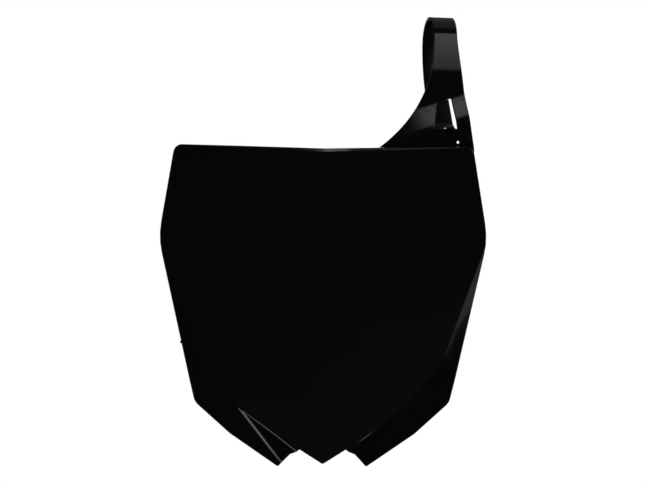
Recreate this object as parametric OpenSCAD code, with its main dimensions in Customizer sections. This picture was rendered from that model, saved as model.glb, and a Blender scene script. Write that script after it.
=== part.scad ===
// Front number board of a motocross bike, moulded in one piece with its holding strap.
// The front faces -Y, +Z is up, and the origin is the centre of the upper bolt hole's top rim.
// Sizes are worked out from the board's widest line, where the two long sides meet.

/* [Outline of the board, seen from the front] */
// Half of the width at the widest line, measured to the sharp corner
widest_half = 118.7; // [110:0.1:126]
// Radius that softens the widest corner
widest_r = 60; // [10:1:70]
// Half of the width at the top corners
top_half = 107.3; // [98:0.1:112]
// Height of the top corners above the widest line
top_rise = 67; // [58:0.1:76]
// Height of the middle of the top edge above the widest line
top_middle_rise = 64; // [57:0.1:70]
// Radius of the top corners
top_r = 6.5; // [3:0.5:12]
// Half of the width at the lower corners
low_half = 92.2; // [86:0.1:100]
// Drop of the lower corners below the widest line
low_drop = 118.5; // [108:0.1:124]
// Radius of the lower corners
low_r = 10; // [4:0.5:16]
// Half of the width where the lower edge bends
bend_half = 66.6; // [60:0.1:74]
// Drop of the lower edge's bend
bend_drop = 140; // [134:0.1:146]
// Radius of the lower edge's bend
bend_r = 18; // [4:1:24]
// Distance of each fang's tip from the middle
fang_half = 31.7; // [28:0.1:36]
// Drop of the fangs' tips
fang_drop = 164; // [158:0.1:172]
// Radius of the fangs' tips
fang_r = 1.5; // [0.8:0.1:2.5]
// Distance of the notch beside the middle point
notch_half = 16.4; // [13:0.1:17]
// Drop of that notch
notch_drop = 149.5; // [146:0.1:152]
// Radius in that notch
notch_r = 0.4; // [0.2:0.1:1]
// Width of the step from the notch towards the fang
step_w = 2.2; // [1.6:0.1:3]
// Height of that step
step_h = 1.9; // [1.2:0.1:2.6]
// Width of the ledge between the step and the fang
ledge_w = 4.5; // [3.5:0.1:5.5]
// Height that the ledge falls towards the fang
ledge_h = 2.3; // [1.6:0.1:3]
// Radius at both ends of the ledge
step_r = 0.8; // [0.4:0.1:1.2]
// Drop of the middle point
point_drop = 159.7; // [155:0.1:166]
// Radius of the middle point
point_r = 2.5; // [0.5:0.1:5]

/* [Shape of the front face] */
// Radius of each half of the number field, seen from above
field_r = 700; // [500:10:1500]
// Angle at which each half leaves the middle crease
field_angle = 4; // [2:0.5:7]
// Drop of the number field's upper edge below the middle of the top edge
bevel_height = 3.2; // [1.5:0.1:6]
// Height by which that edge climbs for each millimetre towards a corner
bevel_climb = 0.052; // [0.03:0.001:0.06]
// Lean of the top bevel from upright
bevel_lean = 45; // [25:1:60]
// Distance from the middle to the corner of the number field above the fang
corner_half = 86.9; // [82:0.1:90]
// Drop of that corner
corner_drop = 85; // [75:0.5:92]
// Distance from the middle to the start of the groove
groove_half = 60; // [56:0.1:64]
// Drop of the groove's start
groove_drop = 120; // [117:0.1:124]
// Depth by which the side facet falls back at the lower corner
side_fall = 8.5; // [5:0.1:12]
// Depth by which the lower facet falls back at the lower edge's bend
bend_fall = 8; // [5:0.1:11]
// Depth of the groove beside the fang's tip
groove_depth = 11; // [8:0.1:13]
// Radius along the bottom of the groove
groove_r = 8; // [3:0.5:10]
// Distance of the groove's inner edge from the step beside the notch
groove_margin = 0.8; // [0.4:0.1:1.5]
// Distance of the groove's bottom from the fang's tip, towards the middle
valley_in = 1; // [0:0.1:2]
// Height above the fang's tip at which the groove has its depth
valley_up = 5; // [3:0.5:8]

/* [Wall] */
// Thickness of the board
wall = 2.2; // [1.6:0.1:3]
// Depth of the rim that runs round behind the board
rim_depth = 10; // [8:0.5:14]

/* [Upper mounting tab] */
// Length of the tab behind the number field, to the bolt's axis
tab_reach = 36; // [28:1:50]
// Width of the tab
tab_w = 24; // [20:1:32]
// Thickness of the tab
tab_t = 3; // [2.4:0.1:5]
// Drop of the tab's upper face below the middle of the top edge
tab_sink = 14; // [8:0.5:24]
// Radius of the bolt hole
bolt_hole_r = 3.25; // [2.6:0.05:4.3]
// Thickness of the stiffening ribs behind the board
rib_t = 2; // [1.4:0.1:3]
// Height of the ribs below the tab, where they meet the board
tab_rib_height = 20; // [8:1:28]
// Height of the ribs' far ends
rib_toe = 2; // [1:0.5:4]

/* [Lower mounting shelf] */
// Drop of the shelf's upper face below the widest line
shelf_drop = 116; // [100:1:122]
// Length of the shelf behind the number field, to the pegs' axes
shelf_reach = 28; // [22:1:40]
// Distance between the two peg holes
peg_spacing = 36; // [28:1:44]
// Radius of the peg holes
peg_hole_r = 4.5; // [3.5:0.1:5.5]
// Thickness of the shelf
shelf_t = 3; // [2.4:0.1:4]
// Material left round a peg hole
peg_margin = 7; // [5:0.5:9]
// Height of the ribs above the shelf, where they meet the board
shelf_rib_height = 12; // [6:1:20]

/* [Strap, seen from the front] */
// Distance from the middle of the board to the strap's own upright line
strap_x = 88; // [84:0.5:90]
// Angle that the strap turns with the side of the board
strap_turn = 8; // [5:0.5:10]
// Distance from the number field back to the strap's root
strap_setback = 6.8; // [6:0.1:7.4]
// Width of the band
band_w = 17.4; // [12:0.1:20]
// Distance from the upright line to the middle of the band
band_shift = 2.3; // [1:0.1:3]
// Height of the strap's top above the widest line
strap_rise = 165; // [156:0.1:170]
// Drop below the strap's top at which the inner edge starts to spread
flare_drop = 31; // [24:1:36]
// Distance that the inner edge has spread there
flare_w = 1.2; // [0.4:0.1:2]
// Bulge of the outer edge between the band and the foot
outer_bulge = 1.9; // [0:0.1:2.5]
// Width of the foot on its inner side, from the upright line
foot_inner = 48.7; // [40:0.1:56]
// Width of the foot on its outer side, from the upright line
foot_outer = 21; // [18:0.1:22]
// Height of the foot's inner end above the middle of the top edge
foot_h = 1.8; // [1:0.1:4]
// Distance from the foot's inner end to where the gusset's two tangents meet
gusset_w = 36.9; // [30:0.1:42]
// Height of that place above the foot's inner end
gusset_h = 27.2; // [20:0.1:34]
// Height of the window's lower edge above the widest line
window_rise = 80; // [78:0.1:83]
// Height of the window at its outer side
window_h = 22.4; // [16:0.1:26]
// Height that the window's upper edge falls towards its inner side
window_fall = 2.6; // [0:0.1:4]
// Width of the window at its lower edge
window_low_w = 17.2; // [14:0.1:19]
// Width of the window at its upper edge
window_high_w = 10.6; // [8:0.1:14]
// Distance from the upright line to the middle of the window's lower edge
window_in = 0.2; // [0:0.1:2]
// Distance that the window leans outwards
window_lean = 0.1; // [0:0.1:2]
// Width of the tongue that the window holds
tongue_w = 6; // [4:0.1:8]
// Gap between the tongue and the window's lower edge
tongue_gap = 0.3; // [0.2:0.1:0.8]
// Radius of the small hole beside the window
eyelet_r = 1; // [0.8:0.1:2]
// Height of that hole above the widest line
eyelet_rise = 70.3; // [69.5:0.1:72]
// Distance from that hole to the foot's outer end
eyelet_margin = 12.1; // [10:0.1:14]

/* [Strap, seen from the side] */
// Thickness at the root
root_t = 2.4; // [2:0.1:3]
// Thickness of the band
band_t = 1.9; // [1.6:0.1:2.4]
// Length of the root behind the board's top edge
root_depth = 2; // [1:0.5:4]
// Length of the upright foot
foot_run = 14; // [12:0.5:16]
// Angle at which the strap leans back above its foot
lean_low = 20; // [10:1:26]
// Length of the stretch that leans back
lean_run = 11; // [8:0.5:14]
// Radius of the bends at both ends of that stretch
lean_r = 20; // [12:1:26]
// Length of the upright stretch above it
window_run = 15; // [12:0.5:18]
// Angle at which the front run leans back from there to the top
lean_high = 12; // [6:1:16]
// Radius of the bend into that lean
high_r = 48; // [30:1:60]
// Radius of the band's bend over the top
loop_r = 18; // [14:0.5:22]
// Angle at which the back run comes forward
fall_bend = 25; // [18:1:30]
// Radius of the bend into that angle
fall_r = 69; // [50:1:80]
// Radius of the bend into the tongue
hook_r = 10; // [8:0.5:14]
// Distance by which the back run spreads outwards, down to the tongue
back_spread = 1.5; // [0:0.1:3]
// Height above the window's lower edge at which that starts
back_spread_rise = 24; // [16:0.5:40]
// Distance that the tongue stands out in front of the window before its tip turns down
tongue_out = 0.6; // [0.4:0.1:2]
// Angle at which the tip turns down over the window's lower edge
tip_turn = 75; // [20:1:80]
// Radius of that bend
tip_r = 2; // [2:0.5:4]

/* [Mould marks] */
// Radius of the gate stub on the left side
gate_r = 1; // [0.6:0.1:1.6]
// Height of the stub
gate_h = 0.5; // [0.3:0.1:1]
// Drop of the gate stub below the widest line
gate_drop = 75; // [40:1:100]

/* [Hidden] */

plastic = [0.03, 0.03, 0.033];
span = 400;
arc_step = 9;
round_fn = 64;
tiny = 0.01;

// Depth of the number field's surface behind its middle crease
function field_y(x) = tan(field_angle) * abs(x) + x * x / (2 * field_r);
function unit(v) = v / norm(v);
function left_of(v) = [-v[1], v[0]];
function turn_at(a, b, c) =
    atan2(cross2(b - a, c - b), (b - a) * (c - b));
function cross2(a, b) = a[0] * b[1] - a[1] * b[0];

// The corners of the right half from the middle point round to the top, each with its radius
step_high = [notch_half + step_w, -notch_drop - step_h];
step_low = step_high + [ledge_w, -ledge_h];
right_corners = [
    [0, -point_drop, point_r],
    [notch_half, -notch_drop, notch_r],
    [step_high[0], step_high[1], step_r],
    [step_low[0], step_low[1], step_r],
    [fang_half, -fang_drop, fang_r],
    [bend_half, -bend_drop, bend_r],
    [low_half, -low_drop, low_r],
    [widest_half, 0, widest_r],
    [top_half, top_rise, top_r],
];
left_corners = [
    for (i = [len(right_corners) - 1:-1:1])
        [-right_corners[i][0], right_corners[i][1], right_corners[i][2]]
];
corners = concat(right_corners, [[0, top_middle_rise, 0]], left_corners);

// A corner moved inwards by an inset, then rounded by an arc that keeps the same centre
function corner_arc(i, inset) =
    let (
        n = len(corners),
        at = [corners[i][0], corners[i][1]],
        before = [corners[(i + n - 1) % n][0], corners[(i + n - 1) % n][1]],
        after = [corners[(i + 1) % n][0], corners[(i + 1) % n][1]],
        coming = unit(at - before),
        going = unit(after - at),
        inner = at + inset * (left_of(coming) + left_of(going)) / (1 + coming * going),
        turn = turn_at(before, at, after),
        r = turn > 0 ? max(corners[i][2] - inset, 0) : corners[i][2] + inset,
        steps = max(2, ceil(abs(turn) / arc_step)),
        reach = r * tan(abs(turn) / 2),
        side = sign(turn),
        centre = inner - coming * reach + side * r * left_of(coming)
    )
    r < tiny || abs(turn) < 1.5 || corners[i][2] == 0
        ? [inner]
        : [
            for (k = [0:steps])
                centre - side * r * turned(left_of(coming), turn * k / steps)
        ];
function turned(v, angle) =
    [v[0] * cos(angle) - v[1] * sin(angle), v[0] * sin(angle) + v[1] * cos(angle)];

// Everything inside the outline, all the way through
module outline(inset) {
    rotate([90, 0, 0])
        linear_extrude(span, center = true)
            polygon([for (i = [0:len(corners) - 1]) each corner_arc(i, inset)]);
}

// Everything behind two upright cylinders that meet in a crease at x = 0
module barrel(radius, angle, inset) {
    intersection_for (side = [-1, 1])
        translate([-side * radius * sin(angle), radius * cos(angle), -span])
            cylinder(r = radius - inset, h = 2 * span, $fn = 256);
}

// Everything behind the plane through three points
module behind(a, b, c, inset) {
    u = unit(b - a);
    n = unit(cross(c - a, u));
    v = cross(n, u);
    multmatrix([
        [u[0], v[0], n[0], a[0]],
        [u[1], v[1], n[1], a[1]],
        [u[2], v[2], n[2], a[2]],
        [0, 0, 0, 1],
    ])
        translate([-span, -span, inset])
            cube(2 * span);
}

// The bevel under the top edge: the field's own cylinders, laid back and less angled
bevel_z = top_middle_rise - bevel_height;
bevel_angle = atan(cos(bevel_lean) * (tan(field_angle) - bevel_climb * tan(bevel_lean)));
bevel_r = field_r / cos(bevel_lean);
module top_bevel(inset) {
    translate([0, 0, bevel_z])
        rotate([-bevel_lean, 0, 0])
            barrel(bevel_r, bevel_angle, inset);
}

// Points where the facets of the right half meet the number field
widest_point = [widest_half, field_y(widest_half), 0];
corner_point = [corner_half, field_y(corner_half), -corner_drop];
groove_point = [groove_half, field_y(groove_half), -groove_drop];
notch_point = [
    step_high[0] - groove_margin,
    field_y(step_high[0]),
    step_high[1] + groove_margin,
];
// Points on the facets, further back than the number field
side_point = [low_half, field_y(low_half) + side_fall, -low_drop];
bend_point = [bend_half, field_y(bend_half) + bend_fall, -bend_drop];
valley_point = [
    fang_half - valley_in,
    field_y(fang_half) + groove_depth,
    -fang_drop + valley_up,
];

// What the groove beside a fang takes away: a wedge, with a round bottom if r isn't 0
module groove(inset, r) {
    valley = unit(valley_point - groove_point);
    to_notch = notch_point - groove_point;
    to_bend = bend_point - groove_point;
    inner = unit(to_notch - (to_notch * valley) * valley);
    outer = unit(to_bend - (to_bend * valley) * valley);
    opening = acos(inner * outer);
    across = unit(outer - (outer * inner) * inner);
    outer_way = [cos(opening), sin(opening)];
    // The two sides move outwards by the inset, and meet at the foot
    foot = -inset / sin(opening / 2) * [cos(opening / 2), sin(opening / 2)];
    centre = foot + r / sin(opening / 2) * [cos(opening / 2), sin(opening / 2)];
    inner_foot = centre + r * [0, -1];
    outer_foot = centre + r * [-sin(opening), cos(opening)];
    multmatrix([
        [inner[0], across[0], valley[0], groove_point[0]],
        [inner[1], across[1], valley[1], groove_point[1]],
        [inner[2], across[2], valley[2], groove_point[2]],
        [0, 0, 0, 1],
    ])
        linear_extrude(span, center = true)
            union() {
                polygon([
                    if (r > 0) inner_foot,
                    inner_foot + [span, 0],
                    centre + span * (outer_way + [1, 0]),
                    outer_foot + span * outer_way,
                    outer_foot,
                    if (r > 0) centre,
                ]);
                if (r > 0) translate(centre) circle(r, $fn = round_fn);
            }
}

// Everything behind the front face, or behind a copy of it moved back by an inset
module front(inset, valley_r) {
    difference() {
        intersection() {
            barrel(field_r, field_angle, inset);
            top_bevel(inset);
            for_both_sides() behind(widest_point, corner_point, side_point, inset);
            for_both_sides() behind(corner_point, groove_point, bend_point, inset);
        }
        groove(inset, valley_r);
        mirror([1, 0, 0]) groove(inset, valley_r);
    }
}

// The part that a shape and its mirror image have in common
module for_both_sides() {
    intersection() {
        children();
        mirror([1, 0, 0]) children();
    }
}

// The moulded skin of the board and the rim round its back
module board() {
    difference() {
        intersection() {
            outline(0);
            front(0, groove_r);
        }
        intersection() {
            outline(wall);
            front(wall, groove_r + wall);
        }
        front(rim_depth, 0);
    }
}

// A flat plate that reaches back from the board between two heights
module back_plate(low, high) {
    intersection() {
        translate([0, 0, low])
            linear_extrude(high - low)
                children();
        outline(wall / 2);
        front(wall / 2, 0);
    }
}

// Upper tab with the bolt hole, on two ribs that taper away behind the number field
tab_top = top_middle_rise - tab_sink;
module top_tab() {
    difference() {
        union() {
            back_plate(tab_top - tab_t, tab_top) {
                translate([-tab_w / 2, 0]) square([tab_w, tab_reach]);
                translate([0, tab_reach]) circle(tab_w / 2, $fn = round_fn);
            }
            for (side = [-1, 1])
                back_rib(side * (tab_w / 2 - rib_t / 2), tab_top - tab_t, -tab_rib_height, tab_reach);
        }
        translate([0, tab_reach, tab_top - 2 * tab_t])
            cylinder(r = bolt_hole_r, h = 3 * tab_t, $fn = round_fn);
    }
}

// A three-cornered rib below or above a shelf, thinning out towards its far end
module back_rib(x, z, height, reach) {
    intersection() {
        translate([x - rib_t / 2, 0, 0])
            rotate([90, 0, 90])
                linear_extrude(rib_t)
                    polygon([
                        [0, z],
                        [reach, z],
                        [reach, z + sign(height) * rib_toe],
                        [wall, z + height],
                        [0, z + height],
                    ]);
        front(wall / 2, 0);
    }
}

// Lower shelf whose two holes drop over the pegs of the fork's lower clamp
shelf_top = -shelf_drop;
peg_ear_r = peg_hole_r + peg_margin;
module lower_shelf() {
    shelf_w = peg_spacing + 2 * peg_ear_r;
    difference() {
        union() {
            back_plate(shelf_top - shelf_t, shelf_top) {
                translate([-shelf_w / 2, 0]) square([shelf_w, shelf_reach]);
                translate([-peg_spacing / 2, 0]) square([peg_spacing, shelf_reach + peg_ear_r]);
                for (side = [-1, 1])
                    translate([side * peg_spacing / 2, shelf_reach])
                        circle(peg_ear_r, $fn = round_fn);
            }
            for (side = [-1, 0, 1])
                back_rib(side * (shelf_w - rib_t) / 2, shelf_top, shelf_rib_height, shelf_reach);
        }
        for (side = [-1, 1])
            translate([side * peg_spacing / 2, shelf_reach, shelf_top - 2 * shelf_t])
                cylinder(r = peg_hole_r, h = 3 * shelf_t, $fn = round_fn);
    }
}

// A path seen from the side, as [back, height, angle from upright] at the end of each short step.
// A leg is [length, bend, thickness at its end].
function leg_end(at, leg, part) =
    let (
        bend = leg[1] * part,
        r = leg[1] == 0 ? 0 : leg[0] / (leg[1] * PI / 180)
    )
    leg[1] == 0
        ? [
            at[0] + leg[0] * part * sin(at[2]),
            at[1] + leg[0] * part * cos(at[2]),
            at[2],
            at[3] + (leg[2] - at[3]) * part,
        ]
        : [
            at[0] + r * (cos(at[2]) - cos(at[2] + bend)),
            at[1] + r * (sin(at[2] + bend) - sin(at[2])),
            at[2] + bend,
            at[3] + (leg[2] - at[3]) * part,
        ];
function walk(at, legs, i = 0) =
    i == len(legs)
        ? [at]
        : let (steps = max(1, ceil(abs(legs[i][1]) / arc_step)))
            concat(
                [for (k = [0:steps - 1]) leg_end(at, legs[i], k / steps)],
                walk(leg_end(at, legs[i], 1), legs, i + 1)
            );
function side_of_path(path, side) = [
    for (p = path) [p[0] + side * p[3] / 2 * cos(p[2]), p[1] - side * p[3] / 2 * sin(p[2])]
];
function thick_path(path) =
    let (far = side_of_path(path, 1))
    concat(side_of_path(path, -1), [for (i = [len(far) - 1:-1:0]) far[i]]);

// The strap from the side: it rises from the rim, leans back twice and bends over the top.
// Behind, it comes down again, turns forward and ends in the tongue, whose tip hooks over the
// window's lower edge.
root_z = top_middle_rise - root_depth;
window_rest = window_rise + tongue_gap + band_t / 2;
function bend(r, angle, t) = [r * abs(angle) * PI / 180, angle, t];
front_legs = [
    [foot_run, 0, root_t],
    bend(lean_r, lean_low, root_t),
    [lean_run, 0, root_t],
    bend(lean_r, -lean_low, band_t),
    [window_run, 0, band_t],
    bend(high_r, lean_high, band_t),
];
bend_over_z = strap_rise - band_t / 2 - loop_r * (1 - sin(lean_high));
climb_start = walk([root_t / 2, root_z, 0, root_t], front_legs);
climb_from = climb_start[len(climb_start) - 1];
climb_leg = [(bend_over_z - climb_from[1]) / cos(lean_high), 0, band_t];
over_from = leg_end(climb_from, climb_leg, 1);
over_leg = bend(loop_r, 180 - lean_high, band_t);
fall_from = leg_end(over_from, over_leg, 1);
fall_leg = bend(fall_r, fall_bend, band_t);
drop_from = leg_end(fall_from, fall_leg, 1);
hook_drop = hook_r * (1 - sin(fall_bend));
drop_leg = [(drop_from[1] - hook_drop - window_rest) / cos(fall_bend), 0, band_t];
hook_from = leg_end(drop_from, drop_leg, 1);
hook_leg = bend(hook_r, 90 - fall_bend, band_t);
tongue_from = leg_end(hook_from, hook_leg, 1);
window_front = depth_at(climb_start, window_rest) - band_t / 2;
tongue_leg = [tongue_from[0] - window_front + tongue_out, 0, band_t];
tip_leg = bend(tip_r, -tip_turn, band_t);

// Depth of a path's middle at a height that it rises through
function depth_at(path, z) =
    let (i = max([for (k = [0:len(path) - 2]) if (path[k][1] <= z) k]))
    path[i][0]
        + (path[i + 1][0] - path[i][0]) * (z - path[i][1]) / (path[i + 1][1] - path[i][1]);

module strap_run(path, low, high) {
    translate([low, 0, 0])
        rotate([90, 0, 90])
            linear_extrude(high - low)
                polygon(thick_path(path));
}

// A curve from a to b that leaves and arrives along the lines through its guide point
function curve(a, guide, b, steps = 14) = [
    for (k = [0:steps])
        let (t = k / steps)
        (1 - t) * (1 - t) * a + 2 * t * (1 - t) * guide + t * t * b
];

// The foot and front run from the front, which narrow from the foot to the band
band_low = band_shift - band_w / 2;
band_high = band_shift + band_w / 2;
foot_z = top_middle_rise + foot_h;
module strap_face() {
    flare_z = strap_rise - flare_drop;
    outer_z = (strap_rise + foot_z) / 2;
    top_z = strap_rise + band_t;
    polygon(concat(
        [[-foot_inner, root_z]],
        curve(
            [-foot_inner, foot_z],
            [gusset_w - foot_inner, foot_z + gusset_h],
            [band_low - flare_w, flare_z]
        ),
        [[band_low, strap_rise - loop_r], [band_low, top_z], [band_high, top_z]],
        curve(
            [band_high, strap_rise - loop_r],
            [band_high + outer_bulge, outer_z],
            [foot_outer, foot_z]
        ),
        [[foot_outer, root_z]]
    ));
}

// The window and the small hole beside it
module strap_window() {
    window_top = window_rise + window_h;
    polygon([
        [-window_in - window_low_w / 2, window_rise],
        [-window_in + window_low_w / 2, window_rise],
        [-window_in + window_lean + window_high_w / 2, window_top],
        [-window_in + window_lean - window_high_w / 2, window_top - window_fall],
    ]);
    translate([foot_outer - eyelet_margin, eyelet_rise]) circle(eyelet_r, $fn = round_fn);
}

// The loop and the back run from the front, which spread outwards above the tongue
module back_face() {
    top_z = strap_rise + band_t;
    low_z = window_rest - band_t;
    polygon([
        [band_low, low_z],
        [band_high + back_spread, low_z],
        [band_high, window_rise + back_spread_rise],
        [band_high, top_z],
        [band_low, top_z],
    ]);
}

module strap() {
    front_run = walk([root_t / 2, root_z, 0, root_t], concat(front_legs, [climb_leg]));
    loop_run = walk(over_from, [over_leg, fall_leg, drop_leg, hook_leg]);
    tongue_run = walk(tongue_from, [tongue_leg, tip_leg]);
    translate([strap_x, field_y(strap_x) + strap_setback, 0])
        rotate([0, 0, strap_turn]) {
            intersection() {
                strap_run(front_run, -span / 2, span / 2);
                rotate([90, 0, 0])
                    linear_extrude(span, center = true)
                        difference() {
                            strap_face();
                            strap_window();
                        }
            }
            intersection() {
                strap_run(loop_run, -span / 2, span / 2);
                rotate([90, 0, 0])
                    linear_extrude(span, center = true)
                        back_face();
            }
            strap_run(tongue_run, band_shift - tongue_w / 2, band_shift + tongue_w / 2);
        }
}

// The stub that the mould's gate leaves on the left side
function side_at(z) = low_half + (widest_half - low_half) * (z + low_drop) / low_drop;
module gate_stub() {
    translate([-side_at(-gate_drop) - gate_h, field_y(side_at(-gate_drop)) + rim_depth / 2, -gate_drop])
        rotate([0, 90, 0])
            cylinder(r = gate_r, h = wall, $fn = 32);
}

module number_board() {
    color(plastic)
        translate([0, -tab_reach, -tab_top]) {
            board();
            top_tab();
            lower_shelf();
            strap();
            gate_stub();
        }
}

number_board();
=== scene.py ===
"""Looks of a motocross front number board, moulded in one piece with its holding strap.

The sizes are the construction's own, in millimetres on the board's plate axes: x from the middle,
z up from the widest line, and y back from the crease down the middle of the number field. Each
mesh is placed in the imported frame, in metres, by one shift.
"""

from __future__ import annotations

import logging
import math
from abc import ABC, abstractmethod
from dataclasses import dataclass, field
from enum import Enum

import bpy
import numpy as np
from mathutils import Matrix, Vector
from mathutils.geometry import delaunay_2d_cdt


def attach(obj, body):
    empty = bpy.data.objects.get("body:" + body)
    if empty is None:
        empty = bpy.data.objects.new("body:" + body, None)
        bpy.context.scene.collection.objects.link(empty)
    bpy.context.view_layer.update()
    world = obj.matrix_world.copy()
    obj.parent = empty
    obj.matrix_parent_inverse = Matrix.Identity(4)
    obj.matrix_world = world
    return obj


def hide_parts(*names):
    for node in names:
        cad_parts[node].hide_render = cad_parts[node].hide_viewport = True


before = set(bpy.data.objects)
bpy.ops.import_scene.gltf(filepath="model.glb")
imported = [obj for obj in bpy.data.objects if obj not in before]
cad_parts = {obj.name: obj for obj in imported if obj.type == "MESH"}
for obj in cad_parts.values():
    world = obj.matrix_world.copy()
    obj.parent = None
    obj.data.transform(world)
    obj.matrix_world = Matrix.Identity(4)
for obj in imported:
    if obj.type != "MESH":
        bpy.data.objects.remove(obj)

log = logging.getLogger("number_board")

MM = 0.001
# Decimals of a millimetre to which a place counts: points that share them are one.
PLACE_DECIMALS = 4
SAME_PLACE = 10.0**-PLACE_DECIMALS
# A triangle is dropped if its height is a smaller share than this of its longest side.
FLATTEST = 1e-4
X_AXIS, Y_AXIS, Z_AXIS = np.eye(3)
BODY = "root"
NODE = "number_board"
IMAGE_SIZE = (645, 484)


class Hand(Enum):
    """The two halves of the board, as seen from the front."""

    LEFT = -1.0
    RIGHT = 1.0


class Skin(Enum):
    """Which side of the mould formed a surface, kept as a vertex attribute."""

    POLISHED = 0.0
    TEXTURED = 1.0


def soft_max(a: np.ndarray, b: np.ndarray, blend: float) -> np.ndarray:
    """The larger of two depths, with the fold between them rounded.

    Args:
        a: Depths of the first surface.
        b: Depths of the second surface.
        blend: Difference in depth at which the rounding starts.

    Returns:
        The rounded depths.
    """
    near = np.maximum(blend - np.abs(a - b), 0.0)
    return np.maximum(a, b) + near * near / (4.0 * blend)


def soft_min(a: np.ndarray, b: np.ndarray, blend: float) -> np.ndarray:
    """The smaller of two depths, with the valley between them rounded."""
    return -soft_max(-a, -b, blend)


def unit(v: np.ndarray, least: float = 1e-12) -> np.ndarray:
    """The vectors of an array at length one, apart from those shorter than the least length."""
    return v / np.maximum(np.linalg.norm(v, axis=-1, keepdims=True), least)


def put_in_scene(name: str, data: bpy.types.ID) -> bpy.types.Object:
    """Makes an object and links it into the scene.

    Args:
        name: Name of the object.
        data: Its mesh, light or camera.

    Returns:
        The object, at the origin.
    """
    item = bpy.data.objects.new(name, data)
    bpy.context.scene.collection.objects.link(item)
    return item


class PlateFrame:
    """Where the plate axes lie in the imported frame, whose origin is the bolt hole in the tab's top."""

    tab_reach: float = 36.0
    tab_top: float = 50.0

    @classmethod
    def to_row(cls, points: np.ndarray) -> np.ndarray:
        """Points on the plate axes, in millimetres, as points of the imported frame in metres."""
        return (points - [0.0, cls.tab_reach, cls.tab_top]) * MM


@dataclass(frozen=True)
class Corner:
    """A corner of an outline: its place and the radius that softens it."""

    u: float
    v: float
    r: float = 0.0


@dataclass
class Ring:
    """One closed line of points round an outline, with the way out at each."""

    points: np.ndarray
    outward: np.ndarray


@dataclass
class Outline:
    """A closed outline whose straight runs are cut into short ones.

    The material lies on the left of its direction, so a hole runs clockwise. An inset makes the
    radius of an outer corner smaller, down to the least one. A corner that turns by less than the
    least turn, in degrees, stays a point.
    """

    corners: list[Corner]
    spacing: float = 1.0
    arc_step: float = 9.0
    least_radius: float = 0.25
    least_turn: float = 1.5
    least_steps: int = 3

    def _arc(self, i: int, inset: float) -> tuple[np.ndarray, np.ndarray]:
        """The points that round one corner, and the way out at each.

        Args:
            i: Number of the corner.
            inset: Distance by which the outline moves into the material.

        Returns:
            Points and outward directions, one row each.
        """
        count = len(self.corners)
        at, before, after = (
            np.array([c.u, c.v])
            for c in (self.corners[i], self.corners[i - 1], self.corners[(i + 1) % count])
        )
        coming, going = unit(at - before), unit(after - at)
        left_in, left_out = np.array([-coming[1], coming[0]]), np.array([-going[1], going[0]])
        turn = math.atan2(coming[0] * going[1] - coming[1] * going[0], float(coming @ going))
        inner = at + inset * (left_in + left_out) / (1 + coming @ going)
        r0 = self.corners[i].r
        if r0 == 0 or abs(turn) < math.radians(self.least_turn):
            return inner[None], -unit(left_in + left_out)[None]
        r = max(r0 - inset, min(self.least_radius, r0)) if turn > 0 else r0 + inset
        steps = max(self.least_steps, math.ceil(abs(math.degrees(turn)) / self.arc_step))
        side = math.copysign(1.0, turn)
        centre = inner - coming * r * math.tan(abs(turn) / 2) + side * r * left_in
        angles = turn * np.arange(steps + 1) / steps
        ways = np.stack(
            [
                left_in[0] * np.cos(angles) - left_in[1] * np.sin(angles),
                left_in[0] * np.sin(angles) + left_in[1] * np.cos(angles),
            ],
            1,
        )
        return centre - side * r * ways, -ways

    def ring(self, inset: float = 0.0) -> Ring:
        """The outline moved into the material.

        Args:
            inset: Distance of the move. Every inset gives as many points.

        Returns:
            The closed line of points.
        """
        arcs = [self._arc(i, inset) for i in range(len(self.corners))]
        plain = [self._arc(i, 0.0) for i in range(len(self.corners))]
        points, outward = [], []
        for i, (arc_points, arc_ways) in enumerate(arcs):
            points.extend(arc_points)
            outward.extend(arc_ways)
            j = (i + 1) % len(arcs)
            start, end = arc_points[-1], arcs[j][0][0]
            length = np.linalg.norm(plain[j][0][0] - plain[i][0][-1])
            cuts = max(1, math.ceil(length / self.spacing))
            run = unit(plain[j][0][0] - plain[i][0][-1])
            for k in range(1, cuts):
                points.append(start + (end - start) * k / cuts)
                outward.append(np.array([run[1], -run[0]]))
        return Ring(np.array(points), np.array(outward))


def circle(u: float, v: float, r: float, hole: bool = True, arc_step: float = 9.0) -> Outline:
    """A round outline made of four rounded corners.

    Args:
        u: First coordinate of the middle.
        v: Second coordinate of the middle.
        r: Radius.
        hole: Whether the material lies outside it.
        arc_step: Degrees of arc between two points.

    Returns:
        The outline.
    """
    corners = [Corner(u + a * r, v + b * r, r) for a, b in ((-1, -1), (1, -1), (1, 1), (-1, 1))]
    return Outline(corners[::-1] if hole else corners, arc_step=arc_step, least_radius=0.05)


def inside(points: np.ndarray, loop: np.ndarray) -> np.ndarray:
    """Finds which points lie inside a closed loop, by the even-odd rule.

    Args:
        points: The points, one row each.
        loop: Points of the loop in order.

    Returns:
        True for each point inside.
    """
    result = np.zeros(len(points), bool)
    after = np.roll(loop, -1, 0)
    for (x0, y0), (x1, y1) in zip(loop, after):
        if y0 == y1:
            continue
        rows = (points[:, 1] > min(y0, y1)) & (points[:, 1] <= max(y0, y1))
        cross = x0 + (points[:, 1] - y0) * (x1 - x0) / (y1 - y0)
        result ^= rows & (points[:, 0] < cross)
    return result


def between(points: np.ndarray, rings: list[np.ndarray]) -> np.ndarray:
    """Finds which points lie inside an outline and outside its holes.

    Args:
        points: The points, one row each.
        rings: Points of the outline, then those of each hole.

    Returns:
        True for each point there.
    """
    result = inside(points, rings[0])
    for hole in rings[1:]:
        result &= ~inside(points, hole)
    return result


@dataclass(frozen=True)
class Station:
    """One step of an edge's section: its inset from the outline and its depth behind the front.

    The tilt is the way that the surface faces: 0 forwards, 90 outwards, 180 back and 270 inwards.
    """

    inset: float
    depth: float
    tilt: float
    skin: Skin = Skin.POLISHED


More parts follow.
